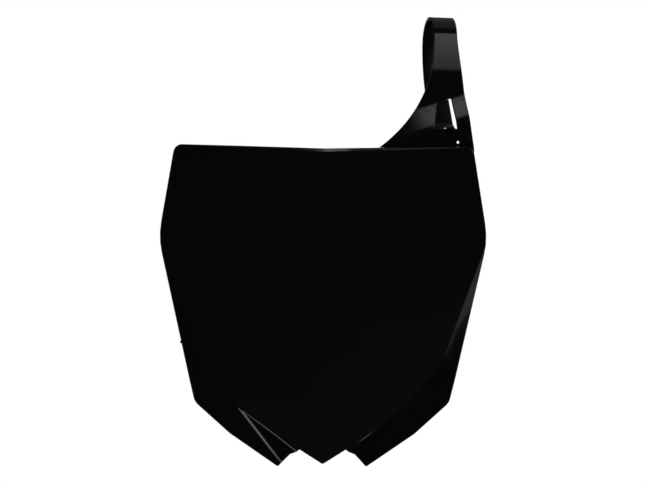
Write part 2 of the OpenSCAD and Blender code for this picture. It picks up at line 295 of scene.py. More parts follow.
def quarter_turn(steps: int = 4) -> list[tuple[float, float, float]]:
    """Even steps from 0 to 90 degrees: the angle, its sine and its cosine."""
    angles = [90.0 * k / steps for k in range(steps + 1)]
    return [(a, math.sin(math.radians(a)), math.cos(math.radians(a))) for a in angles]


def rounded_edge(thickness: float, radius: float, support: float = 0.3) -> list[Station]:
    """The section of a plate's edge, rounded at front and back.

    Args:
        thickness: Thickness of the plate.
        radius: Radius of both roundings.
        support: Flat strip between a rounding and the face behind it.

    Returns:
        The stations from the front face to the back face.
    """
    front = [Station(radius * (1 - s), radius * (1 - c), a) for a, s, c in quarter_turn()]
    back = [Station(s.inset, thickness - s.depth, 180 - s.tilt, Skin.TEXTURED) for s in front[::-1]]
    first = Station(radius + support, 0.0, 0.0)
    last = Station(radius + support, thickness, 180.0, Skin.TEXTURED)
    return [first, *front, *back, last]


class Surface(ABC):
    """A way to bend a flat pattern into the piece's own shape.

    Its directions are measured over the slope step, on both sides of a point.
    """

    slope_step: float = 0.05

    @abstractmethod
    def place(self, uv: np.ndarray, depth: float) -> np.ndarray:
        """Places points of the flat pattern.

        Args:
            uv: The points, one row each.
            depth: Depth behind the front face.

        Returns:
            Their places on the plate axes.
        """

    def axes(self, uv: np.ndarray, depth: float) -> tuple[np.ndarray, np.ndarray, np.ndarray]:
        """The bent pattern's own directions.

        Args:
            uv: Points of the flat pattern.
            depth: Depth behind the front face.

        Returns:
            The ways of u and of v, and the way that the front faces, one row each.
        """
        step = self.slope_step
        along_u = self.place(uv + [step, 0], depth) - self.place(uv - [step, 0], depth)
        along_v = self.place(uv + [0, step], depth) - self.place(uv - [0, step], depth)
        return along_u, along_v, unit(np.cross(along_u, along_v))


@dataclass
class Moulding:
    """A closed mesh that grows by rings and faces, each vertex with its own normal.

    A face is filled with points that keep the margin to its edge. They are looked at in batches.
    """

    edge_margin: float = 0.3
    batch: int = 2000
    weld: float = 1e-7
    points: list[np.ndarray] = field(default_factory=list)
    normals: list[np.ndarray] = field(default_factory=list)
    skins: list[np.ndarray] = field(default_factory=list)
    faces: list[tuple[int, ...]] = field(default_factory=list)
    count: int = 0

    def _add(self, points: np.ndarray, normals: np.ndarray, skin: Skin) -> np.ndarray:
        """Adds vertices.

        Args:
            points: Their places.
            normals: The ways that they face.
            skin: The side of the mould.

        Returns:
            Their numbers.
        """
        self.points.append(points)
        self.normals.append(normals)
        self.skins.append(np.full(len(points), skin.value))
        numbers = np.arange(self.count, self.count + len(points))
        self.count += len(points)
        return numbers

    def plate(
        self, surface: Surface, loops: list[Outline], stations: list[Station], fill: np.ndarray
    ) -> None:
        """Adds a closed plate with rounded edges, bent by its surface.

        Args:
            surface: The way that the flat pattern bends.
            loops: Outer outline, then the holes.
            stations: Section of the edges, from the front face to the back face.
            fill: Points of the flat pattern to use inside both faces.
        """
        first_face = len(self.faces)
        ends: dict[int, list[np.ndarray]] = {0: [], len(stations) - 1: []}
        rings: dict[int, list[np.ndarray]] = {0: [], len(stations) - 1: []}
        for loop in loops:
            last: np.ndarray | None = None
            for number, station in enumerate(stations):
                ring = loop.ring(station.inset)
                along_u, along_v, front = surface.axes(ring.points, station.depth)
                outward = unit(unit(along_u) * ring.outward[:, :1] + unit(along_v) * ring.outward[:, 1:])
                tilt = math.radians(station.tilt)
                facing = unit(math.cos(tilt) * front + math.sin(tilt) * outward)
                row = self._add(surface.place(ring.points, station.depth), facing, station.skin)
                if last is not None:
                    after, last_after = np.roll(row, -1), np.roll(last, -1)
                    self.faces.extend(zip(last.tolist(), last_after.tolist(), after.tolist(), row.tolist()))
                last = row
                if number in ends:
                    ends[number].append(row)
                    rings[number].append(ring.points)
        for number, rows in ends.items():
            self._face(surface, stations[number], rings[number], rows, fill)
        self._turn_outwards(first_face)

    def _clear_of_edge(self, points: np.ndarray, edge: np.ndarray) -> np.ndarray:
        """Leaves out the points that lie too close to an edge.

        Args:
            points: Points of the flat pattern.
            edge: Points of the edge.

        Returns:
            The points that keep the margin.
        """
        clear = [np.zeros((0, 2))]
        for start in range(0, len(points), self.batch):
            part = points[start : start + self.batch]
            room = np.min(np.linalg.norm(part[:, None] - edge[None], axis=2), 1)
            clear.append(part[room > self.edge_margin])
        return np.concatenate(clear)

    def _face(
        self,
        surface: Surface,
        station: Station,
        rings: list[np.ndarray],
        rows: list[np.ndarray],
        fill: np.ndarray,
    ) -> None:
        """Fills the front or the back face of a plate with triangles.

        Args:
            surface: The way that the flat pattern bends.
            station: The face's own station.
            rings: Points of its edge and of its holes' edges.
            rows: Numbers of those vertices.
            fill: Points of the flat pattern to use inside it.
        """
        chosen = self._clear_of_edge(fill[between(fill, rings)], np.concatenate(rings))
        _, _, front_way = surface.axes(chosen, station.depth)
        facing = front_way if station.tilt == 0 else -front_way
        numbers = self._add(surface.place(chosen, station.depth), facing, station.skin)
        flat = np.concatenate([*rings, chosen])
        index = np.concatenate([*rows, numbers])
        lines = []
        start = 0
        for ring in rings:
            size = len(ring)
            lines.extend((start + k, start + (k + 1) % size) for k in range(size))
            start += size
        made, _, triangles, origins, _, _ = delaunay_2d_cdt(
            [Vector(p) for p in flat], lines, [], 0, self.weld
        )
        back = [index[o[0]] if o else -1 for o in origins]
        places = np.array([tuple(v) for v in made])
        a, b, c = places[np.array(triangles)].transpose(1, 0, 2)
        middle, ab, ac = (a + b + c) / 3, b - a, c - a
        longest = np.max([(side * side).sum(1) for side in (ab, ac, b - c)], 0)
        wanted = np.abs(ab[:, 0] * ac[:, 1] - ab[:, 1] * ac[:, 0]) > FLATTEST * longest
        wanted &= between(middle, rings)
        for triangle, use in zip(triangles, wanted):
            corners = tuple(back[v] for v in triangle)
            if use and -1 not in corners:
                self.faces.append(corners)

    def _turn_outwards(self, first_face: int) -> None:
        """Turns the newest faces so that each agrees with its vertices' normals.

        Args:
            first_face: Number of the first face to look at.
        """
        points, normals = np.concatenate(self.points), np.concatenate(self.normals)
        for number in range(first_face, len(self.faces)):
            face = self.faces[number]
            a, b, c = points[face[0]], points[face[1]], points[face[2]]
            way = np.cross(b - a, c - a)
            if len(face) == 4:
                way = np.cross(points[face[2]] - a, points[face[3]] - b)
            if way @ normals[list(face)].sum(0) < 0:
                self.faces[number] = face[::-1]

    def build(self, name: str, away: np.ndarray | float = 0.0) -> bpy.types.Object:
        """Makes the mesh object.

        Args:
            name: Name of the piece.
            away: Metres to take off every point, for a piece that is placed later.

        Returns:
            The object, at the origin, with its place in its mesh.
        """
        points = np.concatenate(self.points)
        normals = np.concatenate(self.normals)
        skins = np.concatenate(self.skins)
        keys = np.round(points / SAME_PLACE).astype(np.int64)
        _, first, merged = np.unique(keys, axis=0, return_index=True, return_inverse=True)
        merged = merged.reshape(-1)
        sums = np.zeros((len(first), 3))
        np.add.at(sums, merged, normals)
        faces = []
        for face in self.faces:
            corners = [int(merged[v]) for v in face]
            slim = [v for k, v in enumerate(corners) if v != corners[k - 1]]
            if len(set(slim)) == len(slim) > 2:
                faces.append(slim)
        mesh = bpy.data.meshes.new(name)
        mesh.from_pydata((PlateFrame.to_row(points[first]) - away).tolist(), [], faces)
        mesh.polygons.foreach_set("use_smooth", [True] * len(mesh.polygons))
        attribute = mesh.attributes.new("textured_side", "FLOAT", "POINT")
        attribute.data.foreach_set("value", skins[first].astype(np.float32))
        mesh.normals_split_custom_set_from_vertices([tuple(n) for n in unit(sums)])
        mesh.update()
        return put_in_scene(name, mesh)


@dataclass
class FrontFace(Surface):
    """The folded front of the board as a depth over x and z, and its copies moved back.

    Each turn is the squared change of slope across a fold, which ties its radius to its width. The
    mesh starts from coarse squares, which halve down to the finest while the face turns by more
    than most_turn degrees within one.
    """

    field_radius: float = 700.0
    field_angle: float = 4.0
    bevel_z: float = 60.8
    bevel_climb: float = 0.052
    bevel_lean: float = 45.0
    widest: tuple[float, float] = (118.7, 0.0)
    field_corner: tuple[float, float] = (86.9, -85.0)
    groove_start: tuple[float, float] = (60.0, -120.0)
    notch_side: tuple[float, float] = (17.8, -150.6)
    low_corner: tuple[float, float] = (92.2, -118.5)
    side_fall: float = 8.5
    low_bend: tuple[float, float] = (66.6, -140.0)
    bend_fall: float = 8.0
    groove_foot: tuple[float, float] = (30.7, -159.0)
    fang_half: float = 31.7
    groove_depth: float = 11.0
    groove_radius: float = 8.0
    crease_radius: float = 2.5
    fold_radius: float = 1.6
    bevel_radius: float = 0.7
    groove_fold_radius: float = 3.0
    deepest_round: float = 3.0
    facet_turn: float = 0.16
    valley_turn: float = 0.16
    inner_turn: float = 0.55
    outer_turn: float = 0.09
    coarse: float = 8.0
    finest: float = 0.55
    most_turn: float = 1.6

    def field_depth(self, x: float) -> float:
        """Depth of the number field's surface at a distance from the middle."""
        return math.tan(math.radians(self.field_angle)) * abs(x) + x * x / (2 * self.field_radius)

    def _barrel(self, x: np.ndarray, radius: float, angle: float, inset: float) -> np.ndarray:
        """Depth of two upright cylinders that meet in the crease at the middle.

        Args:
            x: Distances from the middle.
            radius: Radius of both cylinders.
            angle: Angle at which each leaves the crease, in radians.
            inset: Distance by which they are moved back.

        Returns:
            The depths.
        """
        shift, middle = radius * math.sin(angle), radius * math.cos(angle)
        right = middle - np.sqrt((radius - inset) ** 2 - (x + shift) ** 2)
        left = middle - np.sqrt((radius - inset) ** 2 - (x - shift) ** 2)
        slope = 2 * math.tan(angle)
        return soft_max(right, left, self.crease_radius * slope * slope / 2)

    def _point(self, at: tuple[float, float], fall: float = 0.0) -> np.ndarray:
        """A point of the number field, or behind it."""
        return np.array([at[0], self.field_depth(at[0]) + fall, at[1]])

    @staticmethod
    def _plane(
        x: np.ndarray, z: np.ndarray, a: np.ndarray, b: np.ndarray, c: np.ndarray, inset: float
    ) -> np.ndarray:
        """Depth of the plane through three points.

        Args:
            x: Distances from the middle.
            z: Heights above the widest line.
            a: First point of the plane.
            b: Second point.
            c: Third point.
            inset: Distance by which the plane is moved back.

        Returns:
            The depths.
        """
        normal = unit(np.cross(b - a, c - a))
        normal = normal if normal[1] > 0 else -normal
        return a[1] + (inset - (x - a[0]) * normal[0] - (z - a[2]) * normal[2]) / normal[1]

    def depth(self, x: np.ndarray, z: np.ndarray, inset: float) -> np.ndarray:
        """Depth of the front face, or of its copy moved back.

        Args:
            x: Distances from the middle.
            z: Heights above the widest line.
            inset: Distance by which the copy lies behind the front.

        Returns:
            The depths.
        """
        angle, lean = math.radians(self.field_angle), math.radians(self.bevel_lean)
        bevel_angle = math.atan(
            math.cos(lean) * (math.tan(angle) - self.bevel_climb * math.tan(lean))
        )
        shape = self._barrel(x, self.field_radius, angle, inset)
        bevel = self._barrel(x, self.field_radius / math.cos(lean), bevel_angle, inset)
        bevel = bevel / math.cos(lean) + (z - self.bevel_z) * math.tan(lean)
        shape = soft_max(shape, bevel, self.bevel_radius * math.tan(lean) ** 2 / 2)
        widest, corner = self._point(self.widest), self._point(self.field_corner)
        start, notch = self._point(self.groove_start), self._point(self.notch_side)
        low = self._point(self.low_corner, self.side_fall)
        bend = self._point(self.low_bend, self.bend_fall)
        foot = np.array(
            [
                self.groove_foot[0],
                self.field_depth(self.fang_half) + self.groove_depth,
                self.groove_foot[1],
            ]
        )
        fold = self.fold_radius * self.facet_turn / 2
        for hand in Hand:
            side = hand.value * x
            shape = soft_max(shape, self._plane(side, z, widest, corner, low, inset), fold)
            shape = soft_max(shape, self._plane(side, z, corner, start, bend, inset), fold)
        rounded = self.groove_radius + inset if inset < self.deepest_round else self.fold_radius
        valley = rounded * self.valley_turn / 2
        for hand in Hand:
            side = hand.value * x
            inner = self._plane(side, z, start, notch, foot, inset)
            outer = self._plane(side, z, start, bend, foot, inset)
            beside_field = self.groove_fold_radius * self.inner_turn / 2
            beside_facet = self.fold_radius * self.outer_turn / 2
            blend = np.where(inner < outer, beside_field, beside_facet)
            shape = soft_max(shape, soft_min(inner, outer, valley), blend)
        return shape

    def place(self, uv: np.ndarray, depth: float) -> np.ndarray:
        """Places points of the front, or of its copy moved back.

        Args:
            uv: Distances from the middle and heights, one row each.
            depth: Distance by which the copy lies behind the front.

        Returns:
            Their places on the plate axes.
        """
        x, z = uv[:, 0], uv[:, 1]
        return np.stack([x, self.depth(x, z, depth), z], 1)

    def fill_points(self, low: tuple[float, float], high: tuple[float, float]) -> np.ndarray:
        """Points that lie close together wherever the face turns.

        Args:
            low: Lowest x and z.
            high: Highest x and z.

        Returns:
            The corners of squares that halve until the face hardly turns within one.
        """
        size = self.coarse
        us = np.arange(low[0], high[0], size)
        vs = np.arange(low[1], high[1], size)
        cells = np.array([(u, v) for u in us for v in vs])
        steps = np.array([(a, b) for a in (0, 0.5, 1) for b in (0, 0.5, 1)])
        square = np.array([(0, 0), (1, 0), (0, 1), (1, 1)])
        found = []
        while len(cells):
            spots = (cells[:, None] + steps[None] * size).reshape(-1, 2)
            _, _, ways = self.axes(spots, 0.0)
            ways = ways.reshape(len(cells), len(steps), 3)
            middle = ways[:, len(steps) // 2, :, None]
            spread = np.arccos(np.clip((ways @ middle)[..., 0], -1, 1)).max(1)
            split = (spread > math.radians(self.most_turn)) & (size > self.finest)
            found.append((cells[~split][:, None] + square[None] * size).reshape(-1, 2))
            size /= 2
            cells = (cells[split][:, None] + square[None] * size).reshape(-1, 2)
        points = np.concatenate(found)
        return np.unique(np.round(points, PLACE_DECIMALS), axis=0)


@dataclass
class Board:
    """The skin of the board with the rim round its back.

    The point, the fangs and the top's middle are heights. The step and the ledge lead from a notch
    towards its fang, each as the way outwards and the fall. The polished side of the mould ends at
    the parting, in degrees round the rim's outer rounding. Support is the flat strip beside the
    roundings, and the fill margin how far the mesh's points start below and end above the outline.
    """

    face: FrontFace = field(default_factory=FrontFace)
    wall: float = 2.2
    rim_depth: float = 10.0
    front_radius: float = 0.6
    rim_radius: float = 0.5
    inner_fillet: float = 0.8
    parting: float = 45.0
    support: float = 0.4
    fill_margin: tuple[float, float] = (1.0, 8.0)
    spacing: float = 0.9
    point: float = -159.7
    point_radius: float = 2.5
    notch: tuple[float, float] = (16.4, -149.5)
    notch_radius: float = 0.4
    step: tuple[float, float] = (2.2, 1.9)
    ledge: tuple[float, float] = (4.5, 2.3)
    step_radius: float = 0.8
    fang: float = -164.0
    fang_radius: float = 1.5
    low_bend_radius: float = 18.0
    low_corner_radius: float = 10.0
    widest_radius: float = 60.0
    top_corner: tuple[float, float] = (107.3, 67.0)
    top_corner_radius: float = 6.5
    top_middle: float = 64.0

    def outline(self) -> Outline:
        """Draws the board as it is seen from the front.

        Returns:
            The outline, counter-clockwise from the middle point.
        """
        step = (self.notch[0] + self.step[0], self.notch[1] - self.step[1])
        ledge = (step[0] + self.ledge[0], step[1] - self.ledge[1])
        right = [
            Corner(*self.notch, self.notch_radius),
            Corner(*step, self.step_radius),
            Corner(*ledge, self.step_radius),
            Corner(self.face.fang_half, self.fang, self.fang_radius),
            Corner(*self.face.low_bend, self.low_bend_radius),
            Corner(*self.face.low_corner, self.low_corner_radius),
            Corner(*self.face.widest, self.widest_radius),
            Corner(*self.top_corner, self.top_corner_radius),
        ]
        left = [Corner(-c.u, c.v, c.r) for c in right[::-1]]
        middle = Corner(0.0, self.point, self.point_radius)
        return Outline([middle, *right, Corner(0.0, self.top_middle), *left], self.spacing)

    def stations(self) -> list[Station]:
        """Draws the section of the board's edge.

        Returns:
            The stations from the front face, round the rim, to the back of the skin.
        """
        turns = quarter_turn()
        front, rim, fillet = self.front_radius, self.rim_radius, self.inner_fillet
        result = [Station(front + self.support, 0.0, 0.0)]
        result += [Station(front * (1 - s), front * (1 - c), a) for a, s, c in turns]
        for a, s, c in turns:
            skin = Skin.POLISHED if a < self.parting else Skin.TEXTURED
            result.append(Station(rim * (1 - c), self.rim_depth - rim * (1 - s), 90 + a, skin))
        for a, s, c in turns:
            inset, depth = self.wall - rim * (1 - s), self.rim_depth - rim * (1 - c)
            result.append(Station(inset, depth, 180 + a, Skin.TEXTURED))
        for a, s, c in turns:
            inset, depth = self.wall + fillet * (1 - c), self.wall + fillet * (1 - s)
            result.append(Station(inset, depth, 270 - a, Skin.TEXTURED))
        result.append(Station(self.wall + fillet + self.support, self.wall, 180, Skin.TEXTURED))
        return result

    def add_to(self, moulding: Moulding) -> None:
        """Adds the skin and its rim to a moulding.

        Args:
            moulding: The mesh to add them to.
        """
        outline = self.outline()
        corners = outline.ring().points
        below, above = self.fill_margin
        fill = self.face.fill_points(tuple(corners.min(0) - below), tuple(corners.max(0) + above))
        log.info("front face: %d points round the edge, %d inside", len(corners), len(fill))
        moulding.plate(self.face, [outline], self.stations(), fill)


@dataclass
class FlatPlate(Surface):
    """A plate that stays flat: u and v lie along two axes, and depth along the third."""

    origin: np.ndarray
    u_axis: np.ndarray
    v_axis: np.ndarray

    def place(self, uv: np.ndarray, depth: float) -> np.ndarray:
        """Places points of the flat pattern.

        Args:
            uv: The points, one row each.
            depth: Depth behind the front face.

        Returns:
            Their places on the plate axes.
        """
        back = -np.cross(self.u_axis, self.v_axis)
        flat = uv[:, :1] * self.u_axis + uv[:, 1:] * self.v_axis
        return self.origin + flat + depth * back


def grid(low: np.ndarray, high: np.ndarray, steps: tuple[float, float]) -> np.ndarray:
    """Makes evenly spaced points of a rectangle.

    Args:
        low: Its lowest corner.
        high: Its highest corner.
        steps: Distance between the points along u and along v.

    Returns:
        The points, one row each.
    """
    us = np.arange(low[0] + steps[0] / 2, high[0], steps[0])
    vs = np.arange(low[1] + steps[1] / 2, high[1], steps[1])
    return np.array([(u, v) for u in us for v in vs]).reshape(-1, 2)


@dataclass
class Mounts:
    """The upper tab with its bolt hole and the lower shelf with its two peg holes.

    Tops are heights and reaches depths, those of the holes' middles. The tab's end is round, but
    for a flat that keeps its two corners apart.
    """

    board: Board
    tab_reach: float = PlateFrame.tab_reach
    tab_width: float = 24.0
    tab_thickness: float = 3.0
    tab_top: float = PlateFrame.tab_top
    bolt_hole_radius: float = 3.25
    shelf_top: float = -116.0
    shelf_reach: float = 28.0
    shelf_thickness: float = 3.0
    peg_spacing: float = 36.0
    peg_hole_radius: float = 4.5
    peg_margin: float = 7.0
    edge_radius: float = 0.5
    end_flat: float = 0.01
    spacing: float = 1.5
    arc_step: float = 6.0
    fill_step: float = 4.0

    @property
    def ear(self) -> float:
        """Distance from a peg hole's middle to the shelf's side and far edge."""
        return self.peg_hole_radius + self.peg_margin

    def _root(self, x: float) -> float:
        """Depth of the middle of the skin at a distance from the board's middle."""
        return self.board.face.field_depth(x) + self.board.wall / 2

    def _shelf(
        self, moulding: Moulding, top: float, half: float, reach: float, r: float, t: float,
        holes: list[tuple[float, float, float]],
    ) -> None:
        """Adds a level plate that grows from the back of the skin.

        Args:
            moulding: The mesh to add it to.
            top: Height of its upper face.
            half: Half of its width.
            reach: Depth of its far edge.
            r: Radius of its far corners.
            t: Thickness.
            holes: Middle and radius of each hole.
        """
        corners = [
            Corner(-half, self._root(half)),
            Corner(0.0, self._root(0.0)),
            Corner(half, self._root(half)),
            Corner(half, reach, r),
            Corner(-half, reach, r),
        ]
        loops = [Outline(corners, self.spacing, self.arc_step)]
        loops += [circle(x, y, radius, arc_step=self.arc_step) for x, y, radius in holes]
        surface = FlatPlate(np.array([0.0, 0.0, top]), X_AXIS, Y_AXIS)
        steps = (self.fill_step, self.fill_step)
        fill = grid(np.array([-half, 0.0]), np.array([half, reach]), steps)
        moulding.plate(surface, loops, rounded_edge(t, self.edge_radius), fill)

    def add_to(self, moulding: Moulding) -> None:
        """Adds the tab and the shelf to a moulding.

        Args:
            moulding: The mesh to add them to.
        """
        half = self.tab_width / 2
        bolt = [(0.0, self.tab_reach, self.bolt_hole_radius)]
        self._shelf(
            moulding, self.tab_top, half, self.tab_reach + half, half - self.end_flat,
            self.tab_thickness, bolt,
        )
        pegs = [(h.value * self.peg_spacing / 2, self.shelf_reach, self.peg_hole_radius) for h in Hand]
        self._shelf(
            moulding, self.shelf_top, self.peg_spacing / 2 + self.ear, self.shelf_reach + self.ear,
            self.ear, self.shelf_thickness, pegs,
        )


# Thickness of the strap's band, which is also the depth of its flat pattern.
BAND_THICKNESS = 1.9


@dataclass
class Leg:
    """A stretch of the strap's path: a straight or a bend, with the thickness at its end."""

    length: float
    bend: float
    thickness: float

    @classmethod
    def arc(cls, radius: float, angle: float, thickness: float) -> Leg:
        """A bend of a radius through an angle in degrees, backwards if positive."""
        return cls(radius * math.radians(abs(angle)), angle, thickness)


@dataclass(frozen=True)
class Slant:
    """The climb of the strap's lean towards its outer side, by an angle in radians.

    It leaves the level path as it is where at_u and at_z meet, and it ends at top_z.
    """

    angle: float
    at_u: float
    at_z: float
    top_z: float

    def height(self, u: np.ndarray, z: np.ndarray) -> np.ndarray:
        """Finds where the level path is looked up for points of the slanted lean.

        Args:
            u: Places across the strap.
            z: Heights at which the points are seen from the front.

        Returns:
            Heights on the level path that have the same section.
        """
        rise = (z - self.at_z) * math.cos(self.angle)
        return self.at_z + rise - (u - self.at_u) * math.sin(self.angle)


@dataclass
class StrapPath(Surface):
    """The strap as a flat pattern that bends along its path: u runs across, v along the path.

    The path starts at a depth, a height and a thickness, and is turned about the foot, in radians.
    Each row holds the length so far, the depth, the height, the angle and the thickness.
    """

    foot_at: np.ndarray
    turn: float
    start: tuple[float, float, float]
    slant: Slant
    legs: list[Leg]
    walk_step: float = 0.1

    def __post_init__(self) -> None:
        """Walks the path in short steps."""
        rows = []
        y, z, thickness = self.start
        angle, length = 0.0, 0.0
        for leg in self.legs:
            steps = max(2, math.ceil(leg.length / self.walk_step))
            for k in range(steps):
                part = k / steps
                rows.append(self._step(y, z, angle, thickness, length, leg, part))
            length, y, z, angle, thickness = self._step(y, z, angle, thickness, length, leg, 1.0)
        rows.append((length, y, z, angle, thickness))
        self.rows = np.array(rows)
        self.length = length

    @staticmethod
    def _step(
        y: float, z: float, angle: float, thickness: float, length: float, leg: Leg, part: float
    ) -> tuple[float, float, float, float, float]:
        """The path's state part of the way along a leg.

        Args:
            y: Depth at which the leg starts.
            z: Height at which it starts.
            angle: Lean at its start, in radians from upright.
            thickness: Thickness at its start.
            length: Length of the path before it.
            leg: The leg.
            part: Share of the leg.

        Returns:
            Length of the path, depth, height, angle and thickness there.
        """
        run = leg.length * part
        bend = math.radians(leg.bend * part)
        if leg.bend == 0:
            y, z = y + run * math.sin(angle), z + run * math.cos(angle)
        else:
            r = leg.length / math.radians(leg.bend)
            y, z = (
                y + r * (math.cos(angle) - math.cos(angle + bend)),
                z + r * (math.sin(angle + bend) - math.sin(angle)),
            )
        return length + run, y, z, angle + bend, thickness + (leg.thickness - thickness) * part

    def _split(self) -> tuple[np.ndarray, np.ndarray]:
        """The rows of the front run, which rises, and those from the path's top on."""
        top = int(np.argmax(self.rows[:, 2]))
        return self.rows[:top], self.rows[top:]

    def at_height(self, z: np.ndarray | float) -> np.ndarray:
        """Distance along the path at which its front run reaches a height."""
        rising, _ = self._split()
        return np.interp(z, rising[:, 2], rising[:, 0])

    def falling_at(self, z: float) -> float:
        """Distance along the path at which its back run comes down to a height."""
        _, falling = self._split()
        return float(np.interp(-z, -falling[:, 2], falling[:, 0]))

    def on_lean(
        self, u: np.ndarray | float, z: np.ndarray | float
    ) -> tuple[np.ndarray, np.ndarray, np.ndarray]:
        """The section of the slanted part of the front run.

        Args:
            u: Places across the strap.
            z: Heights.

        Returns:
            Depths, angles and thicknesses.
        """
        rising, _ = self._split()
        height = np.clip(self.slant.height(u, z), rising[0, 2], self.slant.top_z)
        y, angle, thickness = (np.interp(height, rising[:, 2], rising[:, k]) for k in (1, 3, 4))
        return y, angle, thickness

    def place(self, uv: np.ndarray, depth: float) -> np.ndarray:
        """Places points of the flat pattern.

        Args:
            uv: Places across the strap and along its path, one row each.
            depth: Depth behind the front face, which is scaled to the local thickness.

        Returns:
            Their places on the plate axes.
        """
        u, s = uv[:, 0], uv[:, 1]
        y, z, angle, thickness = (np.interp(s, self.rows[:, 0], self.rows[:, k]) for k in range(1, 5))
        over = s - np.clip(s, 0.0, self.length)
        y, z = y + over * np.sin(angle), z + over * np.cos(angle)
        slanted = s < self.at_height(self.slant.top_z)
        y_low, angle_low, thickness_low = self.on_lean(u, z)
        y, angle = np.where(slanted, y_low, y), np.where(slanted, angle_low, angle)
        thickness = np.where(slanted, thickness_low, thickness)
        offset = (depth / BAND_THICKNESS - 0.5) * thickness
        down = offset * np.sin(angle)
        aside = down * math.sin(self.slant.angle) * slanted
        fall = down * np.where(slanted, math.cos(self.slant.angle), 1.0)
        local = np.stack([u + aside, y + offset * np.cos(angle), z - fall], 1)
        c, k = math.cos(self.turn), math.sin(self.turn)
        turned = local @ np.array([[c, k, 0.0], [-k, c, 0.0], [0.0, 0.0, 1.0]])
        return turned + self.foot_at


